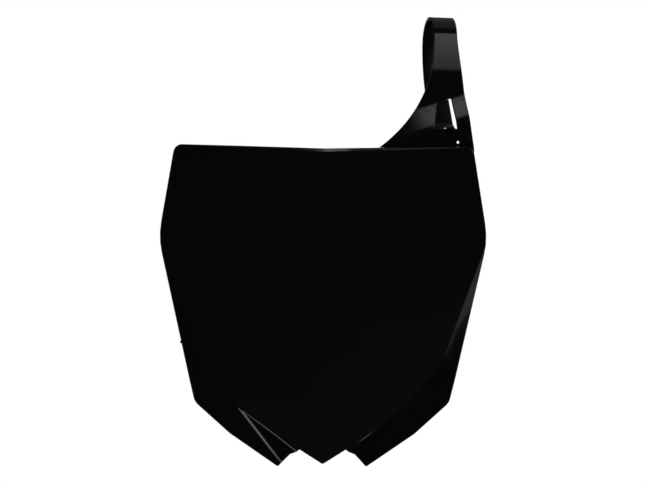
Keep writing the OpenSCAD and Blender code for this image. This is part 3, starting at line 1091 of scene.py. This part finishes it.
@dataclass
class Strap:
    """The strap: foot and front run with the window, the loop and the tongue.

    Its middle stands at x, turned by some degrees. Rises are heights, and the foot's widths lie on
    both sides of its middle. The side profile is a chain of runs, leans in degrees from upright and
    bends with their radii, from the root in the board up to the loop and down to the tongue.
    """

    board: Board
    x: float = 88.0
    turn: float = 8.0
    setback: float = 6.8
    band_width: float = 17.4
    band_shift: float = 2.3
    rise: float = 165.0
    flare_drop: float = 31.0
    flare_width: float = 1.2
    outer_bulge: float = 1.9
    foot_inner: float = 48.7
    foot_outer: float = 21.0
    foot_height: float = 1.8
    gusset_width: float = 36.9
    gusset_height: float = 27.2
    window_rise: float = 80.0
    window_height: float = 22.4
    window_fall: float = 2.6
    window_low_width: float = 17.2
    window_high_width: float = 10.6
    window_in: float = 0.2
    window_lean: float = 0.1
    window_radius: float = 0.6
    tongue_width: float = 6.0
    tongue_gap: float = 0.3
    eyelet_radius: float = 1.0
    eyelet_rise: float = 70.3
    eyelet_margin: float = 12.1
    root_thickness: float = 2.4
    root_depth: float = 2.0
    foot_run: float = 14.0
    lean_low: float = 20.0
    lean_run: float = 11.0
    lean_radius: float = 20.0
    lean_slant: float = 17.5
    lean_in: float = 12.0
    window_run: float = 15.0
    lean_high: float = 12.0
    high_radius: float = 48.0
    loop_radius: float = 18.0
    fall_bend: float = 25.0
    fall_radius: float = 69.0
    hook_radius: float = 10.0
    back_spread: float = 1.5
    back_spread_rise: float = 24.0
    tongue_out: float = 0.6
    tip_turn: float = 75.0
    tip_radius: float = 2.0
    end_radius: float = 1.5
    tongue_root_radius: float = 1.0
    tongue_end_radius: float = 0.8
    edge_radius: float = 0.45
    spacing: float = 0.9
    curve_points: int = 25
    fill_steps: tuple[float, float] = (2.4, 1.2)

    def path(self) -> tuple[StrapPath, float]:
        """Walks the strap's side profile from its root to the tongue's tip.

        Returns:
            The path, and the distance along it at which the tongue starts.
        """
        t = BAND_THICKNESS
        root_z = self.board.top_middle - self.root_depth
        low, high, fall = (math.radians(a) for a in (self.lean_low, self.lean_high, self.fall_bend))
        front = [
            Leg(self.foot_run, 0.0, self.root_thickness),
            Leg.arc(self.lean_radius, self.lean_low, self.root_thickness),
            Leg(self.lean_run, 0.0, self.root_thickness),
            Leg.arc(self.lean_radius, -self.lean_low, t),
            Leg(self.window_run, 0.0, t),
            Leg.arc(self.high_radius, self.lean_high, t),
        ]
        foot_at = np.array([self.x, self.board.face.field_depth(self.x) + self.setback, 0.0])
        start = (self.root_thickness / 2, root_z, self.root_thickness)
        lean_rise = self.lean_radius * math.sin(low)
        lean_z = root_z + self.foot_run + lean_rise + self.lean_run * math.cos(low) / 2
        top_z = lean_z + self.lean_run * math.cos(low) / 2 + lean_rise + self.window_run
        slant = Slant(math.radians(self.lean_slant), -self.lean_in, lean_z, top_z - t)
        given = (foot_at, math.radians(self.turn), start, slant)
        begun = StrapPath(*given, front)
        bend_z = self.rise - t / 2 - self.loop_radius * (1 - math.sin(high))
        climb = (bend_z - begun.rows[-1, 2]) / math.cos(high)
        front += [
            Leg(climb, 0.0, t),
            Leg.arc(self.loop_radius, 180 - self.lean_high, t),
            Leg.arc(self.fall_radius, self.fall_bend, t),
        ]
        begun = StrapPath(*given, front)
        rest = self.window_rise + self.tongue_gap + t / 2
        drop = begun.rows[-1, 2] - self.hook_radius * (1 - math.sin(fall)) - rest
        front += [
            Leg(drop / math.cos(fall), 0.0, t),
            Leg.arc(self.hook_radius, 90 - self.fall_bend, t),
        ]
        begun = StrapPath(*given, front)
        window_y, _, thick = begun.on_lean(self.band_shift, rest)
        reach = begun.rows[-1, 1] - window_y + thick / 2 + self.tongue_out
        front.append(Leg(reach, 0.0, t))
        front.append(Leg.arc(self.tip_radius, -self.tip_turn, t))
        whole = StrapPath(*given, front)
        return whole, begun.length

    def _curve(
        self, a: tuple[float, float], guide: tuple[float, float], b: tuple[float, float]
    ) -> list[tuple[float, float]]:
        """Points of a curve that leaves and arrives along the lines through its guide.

        Args:
            a: Where it starts.
            guide: The point that pulls it.
            b: Where it ends.

        Returns:
            The points.
        """
        ts = np.linspace(0, 1, self.curve_points)[:, None]
        curve = (1 - ts) ** 2 * np.array(a) + 2 * ts * (1 - ts) * np.array(guide) + ts**2 * np.array(b)
        return [tuple(p) for p in curve]

    def _outer_loop(self, path: StrapPath, tongue_from: float) -> Outline:
        """The outline of the flat pattern.

        Args:
            path: The strap's path.
            tongue_from: Distance along it at which the tongue starts.

        Returns:
            The outline, which narrows to the tongue at its far end.
        """
        low, high = self.band_shift - self.band_width / 2, self.band_shift + self.band_width / 2
        foot_z = self.board.top_middle + self.foot_height
        waist_z = self.rise - self.loop_radius
        inner = self._curve(
            (-self.foot_inner, foot_z),
            (self.gusset_width - self.foot_inner, foot_z + self.gusset_height),
            (low - self.flare_width, self.rise - self.flare_drop),
        )
        outer = self._curve(
            (high, waist_z),
            (high + self.outer_bulge, (self.rise + foot_z) / 2),
            (self.foot_outer, foot_z),
        )
        tongue_high = self.band_shift + self.tongue_width / 2
        tongue_low = self.band_shift - self.tongue_width / 2
        spread_from = path.falling_at(self.window_rise + self.back_spread_rise)
        corners = [
            Corner(-self.foot_inner, 0.0),
            Corner(self.foot_outer, 0.0),
            *(Corner(u, float(path.at_height(z))) for u, z in outer[::-1]),
            Corner(high, spread_from),
            Corner(high + self.back_spread, tongue_from, self.end_radius),
            Corner(tongue_high, tongue_from, self.tongue_root_radius),
            Corner(tongue_high, path.length, self.tongue_end_radius),
            Corner(tongue_low, path.length, self.tongue_end_radius),
            Corner(tongue_low, tongue_from, self.tongue_root_radius),
            Corner(low, tongue_from, self.end_radius),
            Corner(low, float(path.at_height(waist_z))),
            *(Corner(u, float(path.at_height(z))) for u, z in inner[::-1]),
        ]
        return Outline(corners, self.spacing)

    def _window(self, path: StrapPath) -> Outline:
        """Draws the window above the foot, in which the tongue ends.

        Args:
            path: The strap's path.

        Returns:
            The window's outline in the flat pattern.
        """
        top = self.window_rise + self.window_height
        half_low, half_high = self.window_low_width / 2, self.window_high_width / 2
        shift = self.window_lean - self.window_in
        window = [
            (-self.window_in - half_low, self.window_rise),
            (-self.window_in + half_low, self.window_rise),
            (shift + half_high, top),
            (shift - half_high, top - self.window_fall),
        ]
        corners = [Corner(u, float(path.at_height(z)), self.window_radius) for u, z in window[::-1]]
        return Outline(corners, self.spacing)

    def _eyelet(self, path: StrapPath) -> Outline:
        """The small hole below the window."""
        along = float(path.at_height(self.eyelet_rise))
        return circle(self.foot_outer - self.eyelet_margin, along, self.eyelet_radius)

    def add_to(self, moulding: Moulding) -> None:
        """Adds the strap to a moulding.

        Args:
            moulding: The mesh to add it to.
        """
        path, tongue_from = self.path()
        loops = [self._outer_loop(path, tongue_from), self._window(path), self._eyelet(path)]
        corners = loops[0].ring().points
        fill = grid(corners.min(0), corners.max(0), self.fill_steps)
        log.info("strap: %.0f mm long, %d points inside", path.length, len(fill))
        moulding.plate(path, loops, rounded_edge(BAND_THICKNESS, self.edge_radius), fill)


@dataclass
class NodeBench:
    """A node tree under construction."""

    tree: bpy.types.NodeTree

    def give(self, socket: bpy.types.NodeSocket, value: object) -> None:
        """Links another node's output to a socket, or sets the socket's own value.

        Args:
            socket: The input that gets it.
            value: The output, a number, a vector or a colour.
        """
        if isinstance(value, bpy.types.NodeSocket):
            self.tree.links.new(value, socket)
        else:
            socket.default_value = value

    def add(
        self, kind: str, inputs: dict[str | int, object] | None = None, **settings: object
    ) -> bpy.types.Node:
        """Adds a node.

        Args:
            kind: Its type.
            inputs: What each input gets, by name or number.
            settings: Its settings, made before its inputs.

        Returns:
            The node.
        """
        node = self.tree.nodes.new(kind)
        for name, value in settings.items():
            setattr(node, name, value)
        for name, value in (inputs or {}).items():
            self.give(node.inputs[name], value)
        return node

    def compute(self, operation: str, a: object, b: object) -> bpy.types.NodeSocket:
        """The result of a Math node on two outputs or numbers."""
        return self.add("ShaderNodeMath", {0: a, 1: b}, operation=operation).outputs[0]

    def vector(self, x: object, y: object, z: object) -> bpy.types.NodeSocket:
        """A vector from three outputs or numbers."""
        return self.add("ShaderNodeCombineXYZ", {0: x, 1: y, 2: z}).outputs[0]

    def end_in_mix(
        self, result: bpy.types.Node, share: object, first: object, second: object
    ) -> None:
        """Ends a shader's tree in a mix of two shaders.

        Args:
            result: The tree's output node.
            share: Share of the second shader.
            first: Output of the first.
            second: Output of the second.
        """
        mix = self.add("ShaderNodeMixShader", {0: share, 1: first, 2: second})
        self.give(result.inputs["Surface"], mix.outputs["Shader"])


@dataclass
class RibSet:
    """Ribs side by side, laid out by Geometry Nodes from one rib's mesh.

    Each stretches from its far end to the skin, whose depth grows with the distance from the middle.
    The rib that is given has the middle one's length, with its far end at y = 0. The spacing, the
    length and far, where the far ends lie along y, are in metres.
    """

    name: str
    rib: bpy.types.Object
    count: int
    spacing: float
    length: float
    far: float
    face: FrontFace

    def tree(self, material: bpy.types.Material) -> bpy.types.NodeTree:
        """Builds the node tree.

        Args:
            material: The finish of the ribs.

        Returns:
            A tree with a row of points and a rib on each, scaled to reach the skin.
        """
        tree = bpy.data.node_groups.new(self.name + "_row", "GeometryNodeTree")
        kinds = {"Geometry": "Geometry", "Ribs": "Int", "Rib": "Object"}
        kinds |= dict.fromkeys(("Spacing", "Length", "Far", "Slope", "Curve"), "Float")
        for name, kind in kinds.items():
            tree.interface.new_socket(name, in_out="INPUT", socket_type="NodeSocket" + kind)
        tree.interface.new_socket("Geometry", in_out="OUTPUT", socket_type="NodeSocketGeometry")
        bench = NodeBench(tree)
        given = bench.add("NodeGroupInput").outputs
        half = bench.compute("MULTIPLY", bench.compute("SUBTRACT", given["Ribs"], 1.0), -0.5)
        first = bench.compute("MULTIPLY", half, given["Spacing"])
        row = bench.add(
            "GeometryNodeMeshLine",
            {
                "Count": given["Ribs"],
                "Offset": bench.vector(given["Spacing"], 0.0, 0.0),
                "Start Location": bench.vector(first, given["Far"], 0.0),
            },
            mode="OFFSET",
            count_mode="TOTAL",
        )
        position = bench.add("GeometryNodeInputPosition").outputs["Position"]
        parts = bench.add("ShaderNodeSeparateXYZ", {"Vector": position})
        x = bench.compute("ABSOLUTE", parts.outputs["X"], 0.0)
        rise = bench.compute("MULTIPLY", x, given["Slope"])
        bow = bench.compute("MULTIPLY", bench.compute("MULTIPLY", x, x), given["Curve"])
        shorter = bench.compute("SUBTRACT", given["Length"], bench.compute("ADD", rise, bow))
        share = bench.compute("DIVIDE", shorter, given["Length"])
        source = bench.add("GeometryNodeObjectInfo", {"Object": given["Rib"]})
        copies = bench.add(
            "GeometryNodeInstanceOnPoints",
            {
                "Points": row.outputs["Mesh"],
                "Instance": source.outputs["Geometry"],
                "Scale": bench.vector(1.0, share, 1.0),
            },
        )
        real = bench.add("GeometryNodeRealizeInstances", {"Geometry": copies.outputs["Instances"]})
        dress = bench.add(
            "GeometryNodeSetMaterial", {"Geometry": real.outputs["Geometry"], "Material": material}
        )
        bench.add("NodeGroupOutput", {"Geometry": dress.outputs["Geometry"]})
        return tree

    def build(self, material: bpy.types.Material) -> bpy.types.Object:
        """Runs the tree and keeps its result as a plain mesh.

        Args:
            material: The finish of the ribs.

        Returns:
            The object that holds all the ribs.
        """
        tree = self.tree(material)
        piece = put_in_scene(self.name, bpy.data.meshes.new(self.name + "_start"))
        modifier = piece.modifiers.new("row", "NODES")
        modifier.node_group = tree
        sockets = {
            item.name: item.identifier
            for item in tree.interface.items_tree
            if item.item_type == "SOCKET" and item.in_out == "INPUT"
        }
        modifier[sockets["Ribs"]] = self.count
        modifier[sockets["Rib"]] = self.rib
        modifier[sockets["Spacing"]] = self.spacing
        modifier[sockets["Length"]] = self.length
        modifier[sockets["Far"]] = self.far
        modifier[sockets["Slope"]] = math.tan(math.radians(self.face.field_angle))
        modifier[sockets["Curve"]] = 0.5 / (self.face.field_radius * MM)
        bpy.context.view_layer.update()
        graph = bpy.context.evaluated_depsgraph_get()
        mesh = bpy.data.meshes.new_from_object(piece.evaluated_get(graph))
        piece.modifiers.remove(modifier)
        piece.data = mesh
        bpy.data.objects.remove(self.rib)
        return piece


@dataclass
class Ribs:
    """The stiffening ribs under the tab and on the shelf."""

    board: Board
    mounts: Mounts
    thickness: float = 2.0
    tab_count: int = 2
    tab_height: float = 20.0
    shelf_count: int = 3
    shelf_height: float = 12.0
    toe: float = 2.0
    edge_radius: float = 0.4
    corner_radius: float = 0.3
    sunk: float = 1.0
    support: float = 0.1
    cut: float = 1.5
    fill_step: float = 4.0

    def _set(
        self, name: str, z: float, height: float, reach: float, count: int, spacing: float,
        material: bpy.types.Material,
    ) -> bpy.types.Object:
        """Builds one set of ribs.

        Args:
            name: Name of the piece.
            z: Height of the plate that they stiffen.
            height: How far they go from there, downwards if negative.
            reach: Depth of their far ends.
            count: Number of ribs.
            spacing: Distance between the middles of neighbours.
            material: Their finish.

        Returns:
            The object that holds the set.
        """
        way = math.copysign(1.0, height)
        length = reach - self.board.wall / 2
        side = [
            (-length, z - way * self.sunk),
            (0.0, z - way * self.sunk),
            (0.0, z + way * self.toe),
            (self.board.wall / 2 - length, z + height),
            (-length, z + height),
        ]
        corners = [Corner(y, h, self.corner_radius) for y, h in side]
        corners = corners if way > 0 else corners[::-1]
        surface = FlatPlate(np.array([self.thickness / 2, 0.0, 0.0]), Y_AXIS, Z_AXIS)
        low, high = sorted((z, z + height))
        steps = (self.fill_step, self.fill_step)
        fill = grid(np.array([-length, low]), np.array([0.0, high]), steps)
        moulding = Moulding()
        stations = rounded_edge(self.thickness, self.edge_radius, self.support)
        moulding.plate(surface, [Outline(corners, self.cut)], stations, fill)
        rib = moulding.build(name + "_one", PlateFrame.to_row(np.zeros(3)) * Y_AXIS)
        far = PlateFrame.to_row(np.array([0.0, reach, 0.0]))[1]
        ribs = RibSet(name, rib, count, spacing * MM, length * MM, far, self.board.face)
        return ribs.build(material)

    def build(self, material: bpy.types.Material) -> list[bpy.types.Object]:
        """Builds both sets of ribs.

        Args:
            material: Their finish.

        Returns:
            The objects, one for each set.
        """
        tab_spacing = self.mounts.tab_width - self.thickness
        shelf_spacing = self.mounts.peg_spacing / 2 + self.mounts.ear - self.thickness / 2
        tab_ribs = self._set(
            "tab_ribs", self.mounts.tab_top - self.mounts.tab_thickness, -self.tab_height,
            self.mounts.tab_reach, self.tab_count, tab_spacing, material,
        )
        shelf_ribs = self._set(
            "shelf_ribs", self.mounts.shelf_top, self.shelf_height,
            self.mounts.shelf_reach, self.shelf_count, shelf_spacing, material,
        )
        return [tab_ribs, shelf_ribs]


@dataclass
class GateStub:
    """The stub that the mould's gate leaves on the left edge."""

    board: Board
    radius: float = 1.0
    height: float = 0.5
    drop: float = 75.0
    edge_radius: float = 0.2
    support: float = 0.1

    def add_to(self, moulding: Moulding) -> None:
        """Adds the stub to a moulding.

        Args:
            moulding: The mesh to add it to.
        """
        low, wide = self.board.face.low_corner, self.board.face.widest
        side = low[0] + (wide[0] - low[0]) * (-self.drop - low[1]) / -low[1]
        depth = self.board.face.field_depth(side) + self.board.rim_depth / 2
        origin = np.array([-side - self.height, depth, -self.drop])
        surface = FlatPlate(origin, -Y_AXIS, Z_AXIS)
        outline = circle(0.0, 0.0, self.radius, hole=False)
        stations = rounded_edge(self.board.wall, self.edge_radius, self.support)
        moulding.plate(surface, [outline], stations, np.zeros((0, 2)))


def new_material(name: str) -> tuple[bpy.types.Material, NodeBench]:
    """Makes a node material.

    Args:
        name: Name of the material.

    Returns:
        The material, and the bench on which its tree is built.
    """
    material = bpy.data.materials.new(name)
    material.use_nodes = True
    return material, NodeBench(material.node_tree)


@dataclass(frozen=True)
class Unevenness:
    """A noise on a piece's own coordinates, with the strength and depth of any bump it makes."""

    scale: float
    detail: float
    strength: float = 0.0
    depth: float = 0.0


@dataclass(frozen=True)
class MouldedPlastic:
    """Glossy black polypropylene, polished in front and finely textured behind.

    The tone and the smear vary the colour and the gloss. The warp is the wall's slow unevenness,
    the flow the ripple that the melt leaves, and the grain the texture of the back.
    """

    name: str = "moulded_black"
    colour: tuple[float, float, float] = (0.0022, 0.0022, 0.0024)
    tone: Unevenness = Unevenness(9.0, 3.0)
    tone_range: tuple[float, float] = (0.85, 1.2)
    refractive_index: float = 1.49
    roughness: float = 0.09
    smear: Unevenness = Unevenness(38.0, 4.0)
    smear_range: tuple[float, float] = (-0.03, 0.04)
    textured_roughness: float = 0.36
    warp: Unevenness = Unevenness(32.0, 0.0, 1.0, 0.0006)
    flow: Unevenness = Unevenness(55.0, 1.0, 0.25, 0.00015)
    grain: Unevenness = Unevenness(2600.0, 2.0, 0.3, 0.00003)

    def build(self) -> bpy.types.Material:
        """Makes the node material.

        Returns:
            The material.
        """
        material, bench = new_material(self.name)
        place = bench.add("ShaderNodeTexCoord").outputs["Object"]
        textured = bench.add("ShaderNodeAttribute", attribute_name="textured_side").outputs["Fac"]

        def noise(of: Unevenness) -> bpy.types.NodeSocket:
            """The value of a noise."""
            given = {"Vector": place, "Scale": of.scale, "Detail": of.detail}
            return bench.add("ShaderNodeTexNoise", given).outputs["Fac"]

        def bump(
            of: Unevenness, height: bpy.types.NodeSocket, under: dict[str, bpy.types.NodeSocket]
        ) -> dict[str, bpy.types.NodeSocket]:
            """The normal that a bump gives, on top of another."""
            given = {"Strength": of.strength, "Distance": of.depth, "Height": height}
            return {"Normal": bench.add("ShaderNodeBump", given | under).outputs["Normal"]}

        dark, light = (tuple(c * share for c in self.colour) for share in self.tone_range)
        shade = bench.add(
            "ShaderNodeMix",
            {"Factor": noise(self.tone), "A": (*dark, 1.0), "B": (*light, 1.0)},
            data_type="RGBA",
        )
        gloss = bench.add(
            "ShaderNodeMapRange",
            {
                "Value": noise(self.smear),
                "To Min": self.roughness + self.smear_range[0],
                "To Max": self.roughness + self.smear_range[1],
            },
        )
        coarse = bench.add(
            "ShaderNodeMix",
            {"Factor": textured, "A": gloss.outputs["Result"], "B": self.textured_roughness},
            data_type="FLOAT",
        )
        warped = bump(self.warp, noise(self.warp), {})
        flowed = bump(self.flow, noise(self.flow), warped)
        grain = bench.compute("MULTIPLY", noise(self.grain), textured)
        grained = bump(self.grain, grain, flowed)
        shader = material.node_tree.nodes["Principled BSDF"]
        bench.give(shader.inputs["IOR"], self.refractive_index)
        bench.give(shader.inputs["Base Color"], shade.outputs["Result"])
        bench.give(shader.inputs["Roughness"], coarse.outputs["Result"])
        bench.give(shader.inputs["Normal"], grained["Normal"])
        return material


@dataclass(frozen=True)
class PaleFloor:
    """A pale matt floor that keeps the board's shadow and turns white further out."""

    name: str = "pale_floor"
    pale: float = 0.8
    shadow_radius: float = 0.45
    white_radius: float = 1.1

    def build(self) -> bpy.types.Material:
        """Makes the node material.

        Returns:
            The material.
        """
        material, bench = new_material(self.name)
        bench.tree.nodes.clear()
        matt = bench.add("ShaderNodeBsdfDiffuse", {"Color": (self.pale, self.pale, self.pale, 1.0)})
        white = bench.add("ShaderNodeEmission", {"Strength": 1.0})
        place = bench.add("ShaderNodeTexCoord").outputs["Object"]
        flat = bench.add("ShaderNodeVectorMath", {0: place, 1: (1.0, 1.0, 0.0)}, operation="MULTIPLY")
        reach = bench.add("ShaderNodeVectorMath", {0: flat.outputs["Vector"]}, operation="LENGTH")
        fade = bench.add(
            "ShaderNodeMapRange",
            {
                "Value": reach.outputs["Value"],
                "From Min": self.shadow_radius,
                "From Max": self.white_radius,
            },
            interpolation_type="SMOOTHSTEP",
        )
        seen = bench.add("ShaderNodeLightPath").outputs["Is Camera Ray"]
        share = bench.compute("MULTIPLY", fade.outputs["Result"], seen)
        result = bench.add("ShaderNodeOutputMaterial")
        bench.end_in_mix(result, share, matt.outputs["BSDF"], white.outputs["Emission"])
        return material


@dataclass(frozen=True)
class Glow:
    """The light of a card, which falls off with its lit attribute towards the edges."""

    name: str
    strength: float

    def build(self) -> bpy.types.Material:
        """Makes the node material.

        Returns:
            The material.
        """
        material, bench = new_material(self.name)
        bench.tree.nodes.clear()
        light = bench.add("ShaderNodeEmission", {"Strength": self.strength})
        clear = bench.add("ShaderNodeBsdfTransparent")
        lit = bench.add("ShaderNodeAttribute", attribute_name="lit").outputs["Fac"]
        result = bench.add("ShaderNodeOutputMaterial")
        bench.end_in_mix(result, lit, clear.outputs["BSDF"], light.outputs["Emission"])
        return material


def direction(azimuth: float, elevation: float) -> np.ndarray:
    """The unit vector of an azimuth, to the right of the way that the board faces, and an elevation."""
    a, e = math.radians(azimuth), math.radians(elevation)
    return np.array([math.sin(a) * math.cos(e), -math.cos(a) * math.cos(e), math.sin(e)])


def gloss_sheet(
    name: str, points: list[np.ndarray], columns: int, lit: list[float], strength: float
) -> bpy.types.Object:
    """Makes a sheet that lights the board's gloss and is seen by nothing else.

    Args:
        name: Name of the sheet.
        points: Its points, row by row.
        columns: Number of points in a row.
        lit: Share of the light at each point.
        strength: Strength of the light.

    Returns:
        The sheet's object.
    """
    faces = [
        (i + j, i + columns + j, i + columns + j + 1, i + j + 1)
        for i in range(0, len(points) - columns, columns)
        for j in range(columns - 1)
    ]
    mesh = bpy.data.meshes.new(name)
    mesh.from_pydata([tuple(p) for p in points], [], faces)
    mesh.attributes.new("lit", "FLOAT", "POINT").data.foreach_set("value", lit)
    mesh.materials.append(Glow(name, strength).build())
    sheet = put_in_scene(name, mesh)
    sheet.visible_camera = sheet.visible_diffuse = sheet.visible_shadow = False
    sheet.visible_transmission = sheet.visible_volume_scatter = False
    return sheet


# Points of the board, on the plate axes, round which some cards bend.
LEFT_GROOVE = (-45.0, 10.0, -140.0)
RIGHT_FOLD = (32.0, 3.0, -140.0)
RIGHT_FACET = (103.0, 19.0, -58.0)
STRAP_FOOT = (88.0, 15.0, 92.0)


@dataclass(frozen=True)
class Card:
    """A curved card round a point of the board, its aim, seen only in the board's gloss.

    It runs from one direction to another, each an azimuth and an elevation as seen from the aim. It
    has a half width in degrees on both sides of that line and a soft strip of some degrees along
    its edges. Faint is the share of the light at its start. The radius is in metres.
    """

    name: str
    start: tuple[float, float]
    end: tuple[float, float]
    half_width: float
    strength: float
    soft: float = 4.0
    radius: float = 1.4
    aim: tuple[float, float, float] = (0.0, 0.0, 0.0)
    faint: float = 1.0
    cuts: int = 13
    most_soft: float = 0.95

    def build(self) -> bpy.types.Object:
        """Makes the card, bent round its aim.

        Returns:
            The card's object.
        """
        centre = PlateFrame.to_row(np.array(self.aim))
        start, end = direction(*self.start), direction(*self.end)
        across = unit(np.cross(start, end))
        along = np.cross(across, start)
        length = math.degrees(math.acos(float(np.clip(start @ end, -1, 1))))
        half = self.half_width
        soft = min(self.soft, half * self.most_soft)
        runs = sorted({-soft, 0.0, length, length + soft, *np.linspace(0, length, self.cuts).tolist()})
        rows = sorted({-half, soft - half, 0.0, half - soft, half})
        points, lit = [], []
        for run in runs:
            for row in rows:
                r, w = math.radians(run), math.radians(row)
                ahead = math.cos(r) * start + math.sin(r) * along
                points.append(centre + self.radius * (math.cos(w) * ahead + math.sin(w) * across))
                on_card = 0.0 <= run <= length and abs(row) < half
                lit.append(self.faint + (1.0 - self.faint) * run / length if on_card else 0.0)
        return gloss_sheet(self.name, points, len(rows), lit, self.strength)


@dataclass
class Studio:
    """Floor, surroundings, cards, lamp and the camera, in metres and degrees."""

    distance: float = 1.0
    yaw: float = 1.5
    roll: float = 0.4375
    sensor: float = 36.0
    mm_per_pixel: float = 0.7066
    aim_shift_mm: tuple[float, float] = (1.25, 2.5)
    fill_light: float = 0.75
    floor_z: float = -0.45
    floor_half: float = 6.0
    screen_radius: float = 2.2
    screen_points: tuple[int, int] = (46, 19)
    lamp_at: tuple[float, float, float] = (0.15, -0.25, 1.5)
    lamp_size: float = 0.9
    lamp_power: float = 18.0
    cards: tuple[Card, ...] = (
        Card(
            "overhead_card", (176.0, 86.0), (130.0, 84.0), half_width=2.0, strength=2.0, soft=1.0,
        ),
        Card(
            "high_card", (26.0, 33.0), (26.0, 46.0), half_width=15.0, strength=1.3, soft=3.0,
            radius=0.264, aim=STRAP_FOOT, faint=0.3,
        ),
        Card(
            "right_card", (45.0, 1.2), (79.2, -12.0), half_width=13.5, strength=0.45, soft=0.3,
            radius=0.25, aim=RIGHT_FACET,
        ),
        Card(
            "low_left_card", (-53.0, -46.5), (-73.0, -51.0), half_width=4.5, strength=2.0, soft=1.5,
            radius=1.4, aim=LEFT_GROOVE,
        ),
        Card(
            "right_fold_card", (33.5, -26.8), (45.8, -36.4), half_width=2.2, strength=2.4, soft=1.2,
            radius=0.2, aim=RIGHT_FOLD,
        ),
        Card(
            "low_card", (-30.0, -14.2), (45.0, -5.6), half_width=5.0, strength=0.03, soft=0.4,
            radius=1.8,
        ),
        Card(
            "back_right_card", (128.0, -4.0), (178.0, -4.0), half_width=45.0, strength=1.5, soft=18.0,
            radius=1.9,
        ),
        Card(
            "back_left_card", (-128.0, -20.0), (-175.0, -20.0), half_width=30.0, strength=0.9, soft=12.0,
            radius=1.9,
        ),
        Card(
            "top_card", (40.0, 66.0), (165.0, 52.0), half_width=12.0, strength=0.18, soft=8.0,
            radius=1.8,
        ),
    )

    def camera(self) -> bpy.types.Object:
        """Makes the camera that the silhouette was fitted with.

        Returns:
            The camera's object.
        """
        data = bpy.data.cameras.new("camera")
        data.sensor_width = self.sensor
        data.lens = self.distance / MM / self.mm_per_pixel / IMAGE_SIZE[0] * self.sensor
        camera = put_in_scene("camera", data)
        bpy.context.scene.camera = camera
        yaw = math.radians(self.yaw)
        right = Vector((math.cos(yaw), -math.sin(yaw), 0.0))
        ahead = Vector((math.sin(yaw), math.cos(yaw), 0.0))
        up = Vector(Z_AXIS)
        eye = Vector(PlateFrame.to_row(np.zeros(3))) - self.distance * ahead
        eye -= right * self.aim_shift_mm[0] * MM + up * self.aim_shift_mm[1] * MM
        turn = Matrix((right, up, -ahead)).transposed().to_4x4()
        roll = Matrix.Rotation(math.radians(self.roll), 4, "Z")
        camera.matrix_world = Matrix.Translation(eye) @ turn @ roll
        return camera

    def world(self) -> None:
        """Makes the surroundings: white for the camera and in reflections, plain light elsewhere."""
        world = bpy.data.worlds.new("surroundings")
        bpy.context.scene.world = world
        world.use_nodes = True
        bench = NodeBench(world.node_tree)
        white = (1.0, 1.0, 1.0, 1.0)
        plain = world.node_tree.nodes["Background"]
        bench.give(plain.inputs["Color"], white)
        bench.give(plain.inputs["Strength"], self.fill_light)
        bright = bench.add("ShaderNodeBackground", {"Color": white, "Strength": 1.0})
        rays = bench.add("ShaderNodeLightPath").outputs
        seen = bench.compute("MAXIMUM", rays["Is Camera Ray"], rays["Is Glossy Ray"])
        share = bench.compute("MAXIMUM", seen, rays["Is Transmission Ray"])
        result = world.node_tree.nodes["World Output"]
        bench.end_in_mix(result, share, plain.outputs["Background"], bright.outputs["Background"])

    def floor(self) -> bpy.types.Object:
        """Makes the floor, which the board's gloss doesn't see.

        Returns:
            The floor's object.
        """
        mesh = bpy.data.meshes.new("floor")
        half, z = self.floor_half, self.floor_z
        corners = [(-half, -half, z), (half, -half, z), (half, half, z), (-half, half, z)]
        mesh.from_pydata(corners, [], [(0, 1, 2, 3)])
        mesh.materials.append(PaleFloor().build())
        floor = put_in_scene("floor", mesh)
        floor.visible_glossy = False
        return floor

    def dark_screen(self) -> bpy.types.Object:
        """Makes the black screen all round the board, which only its gloss sees.

        Returns:
            The screen's object.
        """
        centre = PlateFrame.to_row(np.zeros(3))
        azimuths = np.linspace(-180.0, 180.0, self.screen_points[0])
        elevations = np.linspace(-90.0, 90.0, self.screen_points[1])
        points = [centre + self.screen_radius * direction(a, e) for a in azimuths for e in elevations]
        return gloss_sheet("dark_screen", points, len(elevations), [1.0] * len(points), 0.0)

    def shadow_lamp(self) -> bpy.types.Object:
        """Makes the soft lamp overhead that casts the board's shadow on the floor.

        Returns:
            The lamp's object.
        """
        data = bpy.data.lights.new("shadow_lamp", "AREA")
        data.shape = "SQUARE"
        data.size = self.lamp_size
        data.energy = self.lamp_power
        lamp = put_in_scene("shadow_lamp", data)
        lamp.location = self.lamp_at
        lamp.visible_camera = lamp.visible_glossy = False
        return lamp

    def build(self) -> None:
        """Builds the whole studio."""
        self.camera()
        self.world()
        self.floor()
        self.dark_screen()
        for card in self.cards:
            card.build()
        self.shadow_lamp()


def report(piece: bpy.types.Object) -> None:
    """Logs a piece's count of faces."""
    log.info("%s: %d faces", piece.name, len(piece.data.polygons))


def main() -> None:
    """Builds the board, its ribs and the studio."""
    logging.basicConfig(level=logging.INFO, format="%(name)s: %(message)s")
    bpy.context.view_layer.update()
    plastic = MouldedPlastic().build()
    board = Board()
    mounts = Mounts(board)
    pieces = []
    for name, parts in (
        ("board_skin", [board, GateStub(board)]),
        ("strap", [Strap(board)]),
        ("mounting_plates", [mounts]),
    ):
        moulding = Moulding()
        for part in parts:
            part.add_to(moulding)
        piece = moulding.build(name)
        piece.data.materials.append(plastic)
        pieces.append(piece)
    pieces += Ribs(board, mounts).build(plastic)
    for piece in pieces:
        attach(piece, BODY)
        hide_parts(NODE)
        report(piece)
    Studio().build()
    bpy.context.scene.view_settings.view_transform = "Standard"


if __name__ == "__main__":
    main()
